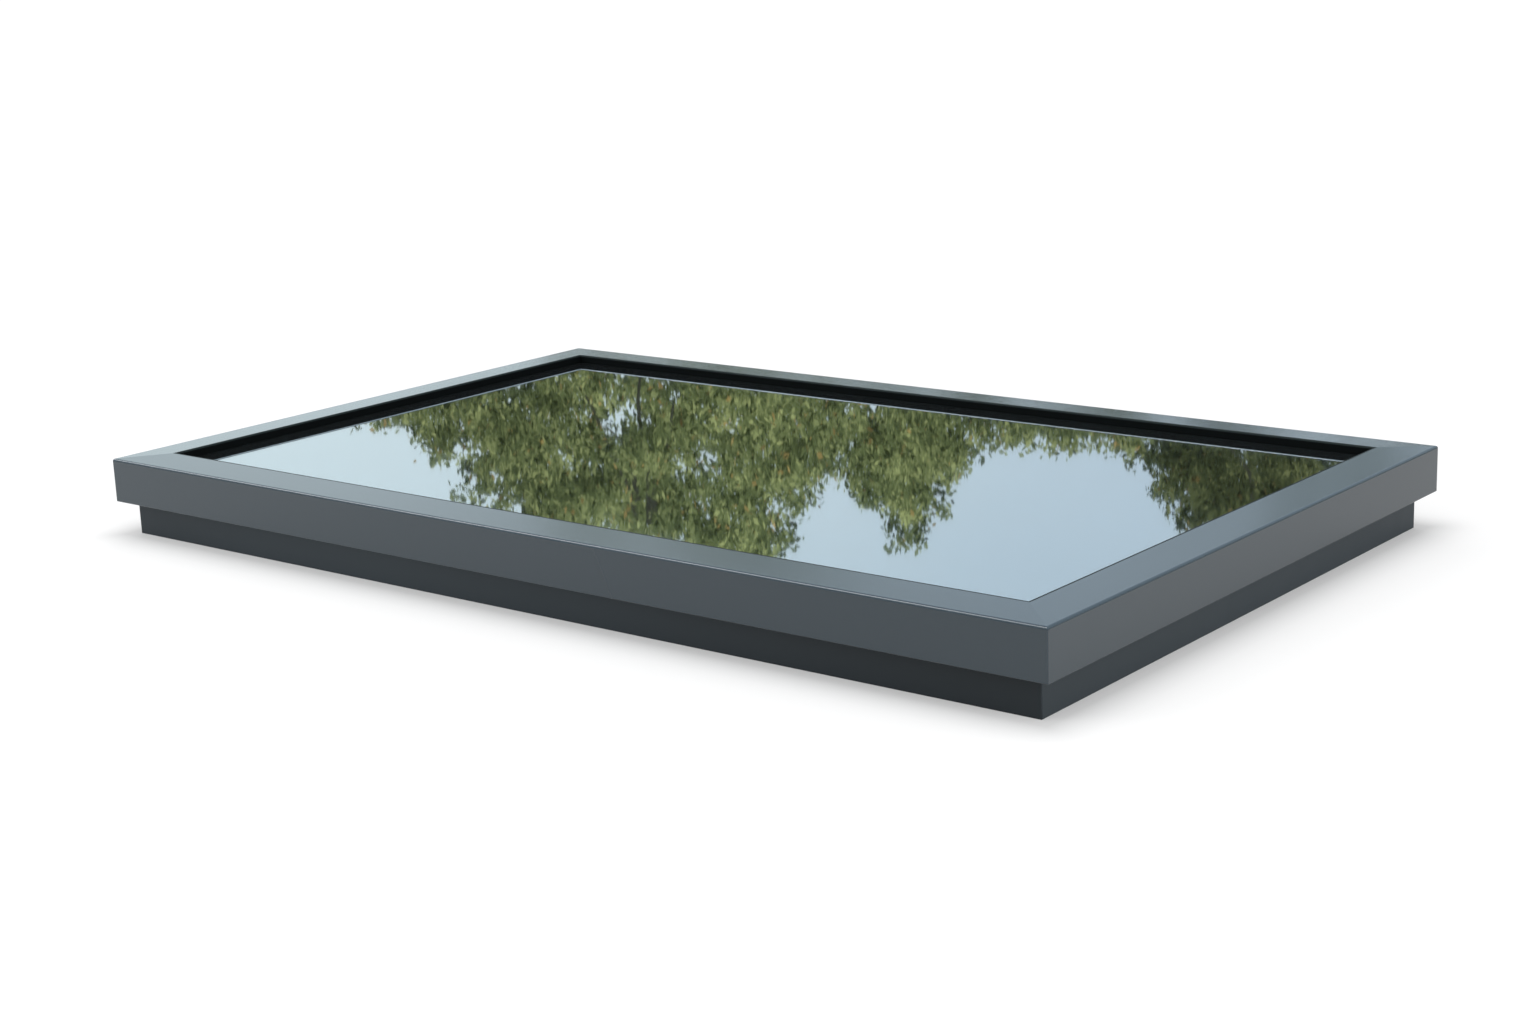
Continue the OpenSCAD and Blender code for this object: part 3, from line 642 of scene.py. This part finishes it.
# %% Coated skin
SHADE_SCALE = 2.6
GLOSS_SCALE, GLOSS_DETAIL = 24.0, 4.0
POWDER_FINENESS, POWDER_SHARE = 4.0, 0.3


def swing(tree, value, amount):
    """Turns noise from 0 to 1 into a swing about 0 of the given amount to each side."""
    centred = math(tree, "MULTIPLY_ADD", value, 2.0, -1.0)
    return math(tree, "MULTIPLY", centred, amount)


skin, given, result = new_group(
    "coated_skin",
    {
        "Colour": ("Color", WHITE),
        "Shade Drift": ("Float", 0.05),
        "Gloss": ("Float", 0.4),
        "Gloss Drift": ("Float", 0.04),
        "Grain": ("Float", 600.0),
    },
    {"Colour": "Color", "Roughness": "Float", "Height": "Float"},
)
place = object_place(skin)
shade = math(skin, "ADD", swing(skin, noise(skin, place, SHADE_SCALE), given["Shade Drift"]), 1.0)
shaded = add_node(skin, "ShaderNodeVectorMath", {0: given["Colour"], "Scale": shade}, operation="SCALE")
gloss = swing(skin, noise(skin, place, GLOSS_SCALE, GLOSS_DETAIL), given["Gloss Drift"])
peel = noise(skin, place, given["Grain"])
powder = noise(skin, place, math(skin, "MULTIPLY", given["Grain"], POWDER_FINENESS))
skin.links.new(shaded.outputs[0], result["Colour"])
skin.links.new(math(skin, "ADD", given["Gloss"], gloss), result["Roughness"])
skin.links.new(math(skin, "MULTIPLY_ADD", powder, POWDER_SHARE, peel), result["Height"])
print(f"{skin.name}: shade drifts {SHADE_SCALE} times a metre")

# %% [markdown]
# ## Dust
# Thin dust settles on every face that looks up, even on a new frame. It could be painted by hand,
# but the way a face looks already says where it lies, and two noises break it into drifts and specks.

# %% Settled dust
DUST_COLOUR = (0.34, 0.33, 0.31, 1.0)
DUST_SCALE, DUST_DETAIL, DUST_ROUGH = 9.0, 5.0, 0.6
SPECK_SCALE, SPECK_DETAIL = 160.0, 3.0
# How far a face looks up, as the height of its normal, where dust begins to lie and where it is full
DUST_BEGINS, DUST_FULL = 0.6, 0.98

dust, given, result = new_group(
    "settled_dust",
    {"Colour": ("Color", WHITE), "Amount": ("Float", 0.05)},
    {"Colour": "Color"},
)
place = object_place(dust)
facing = add_node(dust, "ShaderNodeNewGeometry").outputs["Normal"]
upward = add_node(dust, "ShaderNodeSeparateXYZ", {0: facing}).outputs["Z"]
lies = ramp(dust, upward, DUST_BEGINS, DUST_FULL)
drifts = noise(dust, place, DUST_SCALE, DUST_DETAIL, DUST_ROUGH)
specks = noise(dust, place, SPECK_SCALE, SPECK_DETAIL)
patches = math(dust, "MULTIPLY", drifts, specks)
mask = math(dust, "MULTIPLY", math(dust, "MULTIPLY", lies, patches), given["Amount"])
dust.links.new(mix_colours(dust, mask, given["Colour"], DUST_COLOUR), result["Colour"])
print(f"{dust.name}: drifts {DUST_SCALE} and specks {SPECK_SCALE} times a metre")

# %% [markdown]
# ## The edge at the glass
# The cap's lip ends above the glass in a narrow face, which is dark when looked at but shows as a
# bright hairline in the pane: only mirror rays see it as bare aluminium, a painted highlight. Beside
# it on top runs a fine matt dark line, whose colour is painted shade. Strips of mesh would have
# to lie on the cap's own faces, so a mask by the distance from the lip is used instead.

# %% Painted highlight and shade along the lip
LIP_FACE, LIP_DROP, LINE_WIDTH = 0.0006, 0.0010, 0.0036
LIP_MIRROR_HIGHLIGHT = (0.72, 0.75, 0.77, 1.0)
LIP_PAINTED_SHADE = (0.008, 0.014, 0.012, 1.0)

line, given, result = new_group(
    "lip_highlight_and_shade",
    {"Colour": ("Color", WHITE), "Amount": ("Float", 0.0), "Lit": ("Float", 1.0)},
    {"Colour": "Color", "Mirror Highlight": "Float", "Matt": "Float"},
)
folded = vector_math(line, "ABSOLUTE", object_place(line))["Vector"]
across = add_node(line, "ShaderNodeSeparateXYZ", {0: folded}).outputs


def within(tree, across, reach):
    """1 on the frame up to the reach from the lip's face, 0 further out."""
    in_width = math(tree, "LESS_THAN", across["X"], half_width - flange_w + reach)
    in_depth = math(tree, "LESS_THAN", across["Y"], half_depth - flange_w + reach)
    return math(tree, "MULTIPLY", in_width, in_depth)


lip_low = math(line, "LESS_THAN", across["Z"], rail_high.z - LIP_DROP)
lip_face = math(line, "MULTIPLY", within(line, across, LIP_FACE), lip_low)
# The lip's face turns bare aluminium for mirror rays only: a painted highlight in the pane
lit_face = math(line, "MULTIPLY", lip_face, given["Lit"])
# Beside the face runs a matt strip whose dark colour is painted shade
beside = math(line, "SUBTRACT", within(line, across, LINE_WIDTH), lit_face)
mirror_highlight_mask = math(line, "MULTIPLY", lit_face, given["Amount"])
matt_and_shade_mask = math(line, "MULTIPLY", beside, given["Amount"])
shade_lined = mix_colours(line, matt_and_shade_mask, given["Colour"], LIP_PAINTED_SHADE)
line.links.new(mix_colours(line, mirror_highlight_mask, shade_lined, LIP_MIRROR_HIGHLIGHT), result["Colour"])
line.links.new(mirror_highlight_mask, result["Mirror Highlight"])
line.links.new(matt_and_shade_mask, result["Matt"])
print(f"{line.name}: {LINE_WIDTH * 1000} mm wide")

# %% [markdown]
# ## How a finish is made
# Paint, rubber, plastic and metal differ in a few values only, so one function makes them all: a
# Principled shader with a bump. What changes over the surface comes from the groups, and what is the
# same all over is written straight into the shader's own sockets. Which ray asks is known only in a
# material, so the cap's material tells the lip's group when a mirror looks at it, and the lip's
# painted highlight shows in mirrors only.

# %% Make a finish
def coated(
    name, colour, gloss, grain, bump, shade_drift=0.05, gloss_drift=0.04, dusty=0.0, lip_highlight_and_shade=0.0, **sockets
):
    """A Principled finish with the shared skin, an optional film of dust, an optional painted
    highlight and painted shade line round the glass, and a bump whose height is given in metres."""
    finish, tree = new_material(name)
    values = {
        "Colour": (*colour, 1.0), "Shade Drift": shade_drift,
        "Gloss": gloss, "Gloss Drift": gloss_drift, "Grain": grain,
    }
    surface = add_node(tree, "ShaderNodeGroup", values, node_tree=skin).outputs
    shown_colour = surface["Colour"]
    if dusty:
        film = add_node(tree, "ShaderNodeGroup", {"Colour": shown_colour, "Amount": dusty}, node_tree=dust)
        shown_colour = film.outputs["Colour"]
    roughness = surface["Roughness"]
    if lip_highlight_and_shade:
        # Mirror rays alone turn the lip's face into a painted highlight
        mirrored = add_node(tree, "ShaderNodeLightPath").outputs["Is Glossy Ray"]
        values = {"Colour": shown_colour, "Amount": lip_highlight_and_shade, "Lit": mirrored}
        edge = add_node(tree, "ShaderNodeGroup", values, node_tree=line).outputs
        shown_colour = edge["Colour"]
        roughness = math(tree, "MAXIMUM", roughness, edge["Matt"])
        coat = math(tree, "MULTIPLY", math(tree, "SUBTRACT", 1.0, edge["Matt"]), sockets["Coat Weight"])
        sockets |= {"Metallic": edge["Mirror Highlight"], "Coat Weight": coat}
    relief = add_node(tree, "ShaderNodeBump", {"Height": surface["Height"], "Distance": bump})
    shader = add_node(
        tree, "ShaderNodeBsdfPrincipled",
        {"Base Color": shown_colour, "Roughness": roughness, "Normal": relief.outputs[0], **sockets},
    )
    add_node(tree, "ShaderNodeOutputMaterial", {"Surface": shader.outputs[0]})
    return finish


print("finish function ready")

# %% [markdown]
# ## The opaque finishes
# Cap and base are aluminium with the same satin anthracite powder coat; the base is coloured darker,
# which paints the shade under the cap's overhang. The gasket is matt black rubber, the seals are
# foam with visible cells, the break bars and blocks are moulded plastic, and the cleats, spacer and
# screws are bare metal. They could each be a call of their own, but side by side in a table they
# are easier to compare.

# %% Opaque finishes
# Names in small letters are the function's own values, the others are sockets of the shader
FINISH_VALUES = {
    "cap_coating": {
        "colour": (0.021, 0.036, 0.047), "gloss": 0.22, "grain": 420.0, "bump": 0.000002,
        "shade_drift": 0.03, "gloss_drift": 0.008, "dusty": 0.015, "lip_highlight_and_shade": 0.9,
        "Coat Weight": 0.9, "Coat Roughness": 0.15,
    },
    "base_coating": {
        # Same coat as the cap: the darker colour is painted shade under the cap's overhang
        "colour": (0.013, 0.017, 0.020), "gloss": 0.40, "grain": 420.0, "bump": 0.00001,
        "dusty": 0.04, "Specular IOR Level": 0.3,
    },
    "gasket_rubber": {
        "colour": (0.004, 0.005, 0.005), "gloss": 0.70, "grain": 900.0, "bump": 0.000002,
        "gloss_drift": 0.01, "Specular IOR Level": 0.04,
    },
    "polyamide": {
        "colour": (0.010, 0.010, 0.011), "gloss": 0.50, "grain": 1500.0, "bump": 0.00002,
        "shade_drift": 0.12,
    },
    "foam_tape": {
        "colour": (0.020, 0.020, 0.021), "gloss": 0.85, "grain": 700.0, "bump": 0.00018,
        "shade_drift": 0.20,
    },
    "edge_sealant": {
        "colour": (0.008, 0.008, 0.009), "gloss": 0.45, "grain": 120.0, "bump": 0.00010,
        "shade_drift": 0.10,
    },
    "block_plastic": {
        "colour": (0.24, 0.27, 0.30), "gloss": 0.48, "grain": 800.0, "bump": 0.00003,
        "shade_drift": 0.06,
    },
    "mill_aluminium": {
        "colour": (0.62, 0.63, 0.64), "gloss": 0.36, "grain": 1100.0, "bump": 0.00001,
        "shade_drift": 0.06, "gloss_drift": 0.10, "Metallic": 1.0,
    },
    "screw_steel": {
        "colour": (0.55, 0.56, 0.57), "gloss": 0.26, "grain": 1600.0, "bump": 0.00001,
        "gloss_drift": 0.06, "Metallic": 1.0,
    },
}
FINISHES = {name: coated(name, **values) for name, values in FINISH_VALUES.items()}
print("opaque finishes:", ", ".join(FINISHES))

# %% [markdown]
# ## Glass
# The outer pane is toughened glass with a hard solar coating, which is why it mirrors more than
# bare glass does: the shader is part metal, under a clear coat of high index. A fortieth of the light
# isn't let through but scattered, as by a film of dust on the pane. Toughening leaves a faint wave
# that bends the mirrored branches; it is a bump of a tenth of a millimetre over a third of a metre.
# The inner pane is the darkly tinted one.

# %% Panes
WAVE_SCALE = (0.7, 3.4, 1.0)
WAVE_HEIGHT = 0.00011
PANE_ROUGHNESS = 0.017
PANE_SHADE_DRIFT, PANE_GLOSS_DRIFT = 0.03, 0.004
GLASS_INDEX = 1.52
COATING_INDEX = 2.3


def glass(name, colour, coating, mirror, clear):
    """Principled glass whose tint drifts a little over the pane, part mirror and part clear, with a
    coat on top and a long shallow wave on both."""
    finish, tree = new_material(name)
    place = object_place(tree)
    stretched = add_node(tree, "ShaderNodeMapping", {"Vector": place, "Scale": WAVE_SCALE}).outputs[0]
    height = noise(tree, stretched, scale=1.0, detail=1.0)
    relief = add_node(tree, "ShaderNodeBump", {"Height": height, "Distance": WAVE_HEIGHT}).outputs[0]
    values = {
        "Colour": (*colour, 1.0), "Shade Drift": PANE_SHADE_DRIFT,
        "Gloss": PANE_ROUGHNESS, "Gloss Drift": PANE_GLOSS_DRIFT,
    }
    surface = add_node(tree, "ShaderNodeGroup", values, node_tree=skin).outputs
    shader = add_node(
        tree, "ShaderNodeBsdfPrincipled",
        {
            "Base Color": surface["Colour"], "Roughness": surface["Roughness"], "IOR": GLASS_INDEX,
            "Transmission Weight": clear, "Metallic": mirror,
            "Coat Weight": coating, "Coat IOR": COATING_INDEX,
            "Coat Roughness": PANE_ROUGHNESS, "Normal": relief, "Coat Normal": relief,
        },
    )
    add_node(tree, "ShaderNodeOutputMaterial", {"Surface": shader.outputs[0]})
    return finish


FINISHES["tinted_glass"] = glass(
    "tinted_glass", (0.78, 0.88, 0.92), coating=1.0, mirror=0.40, clear=0.975
)
FINISHES["inner_glass"] = glass("inner_glass", (0.14, 0.24, 0.22), coating=0.0, mirror=0.0, clear=1.0)
print("panes: coating index", COATING_INDEX, "wave", WAVE_HEIGHT, "m")

# %% [markdown]
# ## The finish of every part
# The record of the model names a material slot for each part. Reading it here keeps one list of
# what is made of what, so a part can never end up without a finish.

# %% Give each part its finish
slot_of = {entry["node"]: entry["material_slot"] for entry in frame["record"]["subparts"]}
for name, part in parts.items():
    part.material_slots[0].material = FINISHES[slot_of[name]]
    if slot_of[name] == "base_coating":
        card_lit.objects.link(part)
print({slot: sum(s == slot for s in slot_of.values()) for slot in FINISHES})

# %% [markdown]
# ## The cap rails
# The four cap rails are the face of the skylight: a bent-looking aluminium section with a soft outer
# edge that catches the light all the way round. The loaded solid has that edge in only a few flat
# facets, so each rail is made again here. A Bevel modifier could soften a box, but it can't follow
# the hollow section inside. So the section is drawn once, with true arcs at its round corners, and
# carried along the side.

# %% Round the corners of an outline
ARC_STEPS = 12


def rounded_outline(corners, radii):
    """A closed outline with round corners, all corners at once. Where the two sides at a corner meet
    at twice the half angle, a round of radius r touches them at r / tan(half angle), and its centre
    is on the bisector at r / sin(half angle). The arc between the two touching points is their
    slerp about the centre. A corner without a radius keeps one point."""
    point, radius = np.asarray(corners, float), np.asarray(radii, float)
    to_last, to_next = np.roll(point, 1, 0) - point, np.roll(point, -1, 0) - point
    to_last /= np.linalg.norm(to_last, axis=1, keepdims=True)
    to_next /= np.linalg.norm(to_next, axis=1, keepdims=True)
    half_angle = np.arccos((to_last * to_next).sum(1)) / 2
    bisector = to_last + to_next
    bisector /= np.linalg.norm(bisector, axis=1, keepdims=True)
    centre = point + bisector * (radius / np.sin(half_angle))[:, None]
    touch = (radius / np.tan(half_angle))[:, None]
    first, last = point + to_last * touch - centre, point + to_next * touch - centre
    turn = (np.pi - 2 * half_angle)[:, None, None]
    t = np.linspace(0.0, 1.0, ARC_STEPS + 1)[None, :, None]
    swept = np.sin((1 - t) * turn) * first[:, None] + np.sin(t * turn) * last[:, None]
    arcs = centre[:, None] + swept / np.sin(turn)
    kept = (radius[:, None] > 0) | (np.arange(ARC_STEPS + 1) == 0)
    return arcs[kept]


print(f"a round corner has {ARC_STEPS} steps")

# %% [markdown]
# ## The cap's section
# This is the shape of the die that the aluminium is pressed through: a fascia with a drip toe, a
# chamber for the corner cleat, a sloping flange, and a foot with a groove for the gasket. It could be
# traced point by point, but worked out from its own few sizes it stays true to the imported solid.

# %% The cap section
MM = 0.001
FASCIA_H, FLANGE_RISE, CAP_WALL = 64.0 * MM, 3.2 * MM, 2.5 * MM
CAP_EDGE_R, LIP_EDGE_R, DRIP_EDGE_R, CORNER_EASE_R = 4.0 * MM, 1.5 * MM, 1.0 * MM, 1.5 * MM
CHAMBER_W, WEB_LIFT = 13.5 * MM, 10.0 * MM
TOE_REACH, TOE_T = 1.5 * MM, 2.0 * MM
FOOT_W, FOOT_INSET, GASKET_T = 10.0 * MM, 2.0 * MM, 3.0 * MM
GROOVE_MOUTH, GROOVE_LIP_T, GROOVE_UNDERCUT, GROOVE_H = 4.0 * MM, 1.8 * MM, 1.2 * MM, 3.2 * MM

fascia_foot = rail_low.z
flange_out = fascia_foot + FASCIA_H
glass_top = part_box("outer_pane")[1].z


def flange_height(u):
    """Height of the flange's top at a distance in from the fascia: a straight slope."""
    return flange_out + FLANGE_RISE * u / flange_w


web_foot = fascia_foot + WEB_LIFT
web_u = CAP_WALL + CHAMBER_W
lip_u = flange_w - FOOT_INSET
foot_u, foot_z = lip_u - FOOT_W, glass_top + GASKET_T
mouth = np.array((-0.5, 0.5)) * GROOVE_MOUTH + lip_u - FOOT_W / 2
hollow = mouth + np.array((-1.0, 1.0)) * GROOVE_UNDERCUT
lip_top, groove_top = foot_z + GROOVE_LIP_T, foot_z + GROOVE_LIP_T + GROOVE_H
web_in = web_u + CAP_WALL


def underside(u):
    """Height of the flange's underside, one wall below its top."""
    return flange_height(u) - CAP_WALL


CAP_CORNERS = [
    ((0.0, fascia_foot), DRIP_EDGE_R),
    ((CAP_WALL + TOE_REACH, fascia_foot), 0.0),
    ((CAP_WALL + TOE_REACH, fascia_foot + TOE_T), 0.0),
    ((CAP_WALL, fascia_foot + TOE_T), 0.0),
    ((CAP_WALL, web_foot), 0.0),
    ((web_in, web_foot), 0.0),
    ((web_in, underside(web_in)), 0.0),
    ((foot_u, underside(foot_u)), 0.0),
    ((foot_u, foot_z), 0.0),
    ((mouth[0], foot_z), 0.0),
    ((mouth[0], lip_top), 0.0),
    ((hollow[0], lip_top), 0.0),
    ((hollow[0], groove_top), 0.0),
    ((hollow[1], groove_top), 0.0),
    ((hollow[1], lip_top), 0.0),
    ((mouth[1], lip_top), 0.0),
    ((mouth[1], foot_z), 0.0),
    ((lip_u, foot_z), 0.0),
    ((lip_u, underside(lip_u)), 0.0),
    ((flange_w, underside(flange_w)), 0.0),
    ((flange_w, flange_height(flange_w)), LIP_EDGE_R),
    ((0.0, flange_out), CAP_EDGE_R),
]
cap_outline = rounded_outline(*zip(*CAP_CORNERS))
chamber_foot = web_foot + CAP_WALL
cap_chamber = np.array([
    (CAP_WALL, chamber_foot), (web_u, chamber_foot),
    (web_u, underside(web_u)), (CAP_WALL, underside(CAP_WALL)),
])
print(f"cap section: {len(cap_outline)} points, {len(cap_chamber)} round the chamber")

# %% [markdown]
# ## From mitre to mitre
# Two rails meet at 45 degrees, and the upright edge between them is eased. A Boolean cut would make
# the mitre, but it leaves ragged faces on the rounds. So each point of the section is carried to its
# own end on the mitre, and triangles close the cut.

# %% Carry a section along
EASE_STEPS = 5
SLIVER_AREA = 1e-14


def mitred_sweep(loop, half_length):
    """Carries a loop of the section from mitre to mitre. A point at depth u runs straight to where
    the corner's round of radius r begins, follows it on radius r - u up to the 45 degrees of the
    mitre, and one deeper than r runs straight to the mitre itself."""
    depth, height = loop.T
    angle = np.linspace(0.0, np.pi / 4, EASE_STEPS + 1)[:, None]
    inside = np.maximum(depth, CORNER_EASE_R)
    reach = np.maximum(CORNER_EASE_R - depth, 0.0)
    x = half_length - inside + reach * np.sin(angle)
    y = inside - reach * np.cos(angle)
    x, y = np.concatenate((-x[::-1], x)), np.concatenate((y[::-1], y))
    return np.stack((x, y, np.broadcast_to(height, x.shape)), -1)


def sweep_faces(stations, count, start, outward):
    """Quads between neighbouring stations and neighbouring points of a closed loop."""
    here = np.arange(stations - 1)[:, None] * count + np.arange(count) + start
    beside = np.arange(stations - 1)[:, None] * count + np.roll(np.arange(count), -1) + start
    quads = np.stack((here, beside, beside + count, here + count), -1).reshape(-1, 4)
    return quads if outward else quads[:, ::-1]


def end_faces(outline, chamber):
    """Triangles that close a mitre: the outline with the chamber as a hole, all turned one way."""
    flat = [[Vector((*p, 0.0)) for p in loop] for loop in (outline, chamber)]
    corners = np.concatenate((outline, chamber))
    triangles = np.array(tessellate_polygon(flat))
    a, b, c = (corners[triangles[:, i]] for i in range(3))
    area = (b - a)[:, 0] * (c - a)[:, 1] - (b - a)[:, 1] * (c - a)[:, 0]
    triangles[area < 0] = triangles[area < 0][:, ::-1]
    return triangles[np.abs(area) > SLIVER_AREA]


print(f"an eased corner has {2 * EASE_STEPS} steps")

# %% [markdown]
# ## The four rails
# The sides differ only in their length and in how far they are turned, so one function makes them
# all. Weighted normals keep the broad faces flat right up to the rounds, which plain smooth shading
# wouldn't.

# %% Make the four rails
SHARP_ANGLE = np.radians(25.0)
MERGE_DISTANCE, SLIVER_LENGTH = 1e-6, 1e-7
# Degrees turned from the front, half the length of the side, and how far out it stands
SIDES = {
    "front": (0.0, half_width, half_depth),
    "right": (90.0, half_depth, half_width),
    "back": (180.0, half_width, half_depth),
    "left": (270.0, half_depth, half_width),
}


def mitred_rail(name, outline, chamber, side, finish):
    """One rail: outline and chamber carried along its side, closed at both mitres, and turned into
    place. Points that meet at the mitre are merged, and edges past the sharp angle stay crisp."""
    turn, half_length, reach = SIDES[side]
    outer, inner = mitred_sweep(outline, half_length), mitred_sweep(chamber, half_length)
    stations = len(outer)
    points = np.concatenate((outer.reshape(-1, 3), inner.reshape(-1, 3)))
    points[:, 1] -= reach
    cos, sin = np.cos(np.radians(turn)), np.sin(np.radians(turn))
    points[:, :2] = points[:, :2] @ np.array(((cos, sin), (-sin, cos)))
    start = stations * len(outline)
    quads = np.concatenate((
        sweep_faces(stations, len(outline), 0, True),
        sweep_faces(stations, len(chamber), start, False),
    ))
    triangles = end_faces(outline, chamber)
    first = np.concatenate((np.arange(len(outline)), start + np.arange(len(chamber))))
    last = np.concatenate((
        (stations - 1) * len(outline) + np.arange(len(outline)),
        start + (stations - 1) * len(chamber) + np.arange(len(chamber)),
    ))
    mesh = bpy.data.meshes.new(name)
    mesh.from_pydata(
        points.tolist(), [], quads.tolist() + first[triangles[:, ::-1]].tolist() + last[triangles].tolist()
    )
    shell = bmesh.new()
    shell.from_mesh(mesh)
    bmesh.ops.remove_doubles(shell, verts=shell.verts, dist=MERGE_DISTANCE)
    bmesh.ops.dissolve_degenerate(shell, edges=shell.edges, dist=SLIVER_LENGTH)
    open_edges = sum(not edge.is_manifold for edge in shell.edges)
    volume = shell.calc_volume(signed=True)
    shell.to_mesh(mesh)
    shell.free()
    mesh.shade_smooth()
    mesh.set_sharp_from_angle(angle=SHARP_ANGLE)
    mesh.materials.append(finish)
    rail = add_object(name, mesh)
    weighting = rail.modifiers.new("flat_faces_first", "WEIGHTED_NORMAL")
    weighting.keep_sharp = True
    print(f"{name}: {len(mesh.polygons)} faces, {open_edges} open edges, {volume * 1e6:.1f} cm3")
    return rail


for side in SIDES:
    rail = mitred_rail(f"cap_{side}", cap_outline, cap_chamber, side, FINISHES["cap_coating"])
    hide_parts(f"cap_rail_{side}")
    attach(rail, "root")
    edge_lit.objects.link(rail)
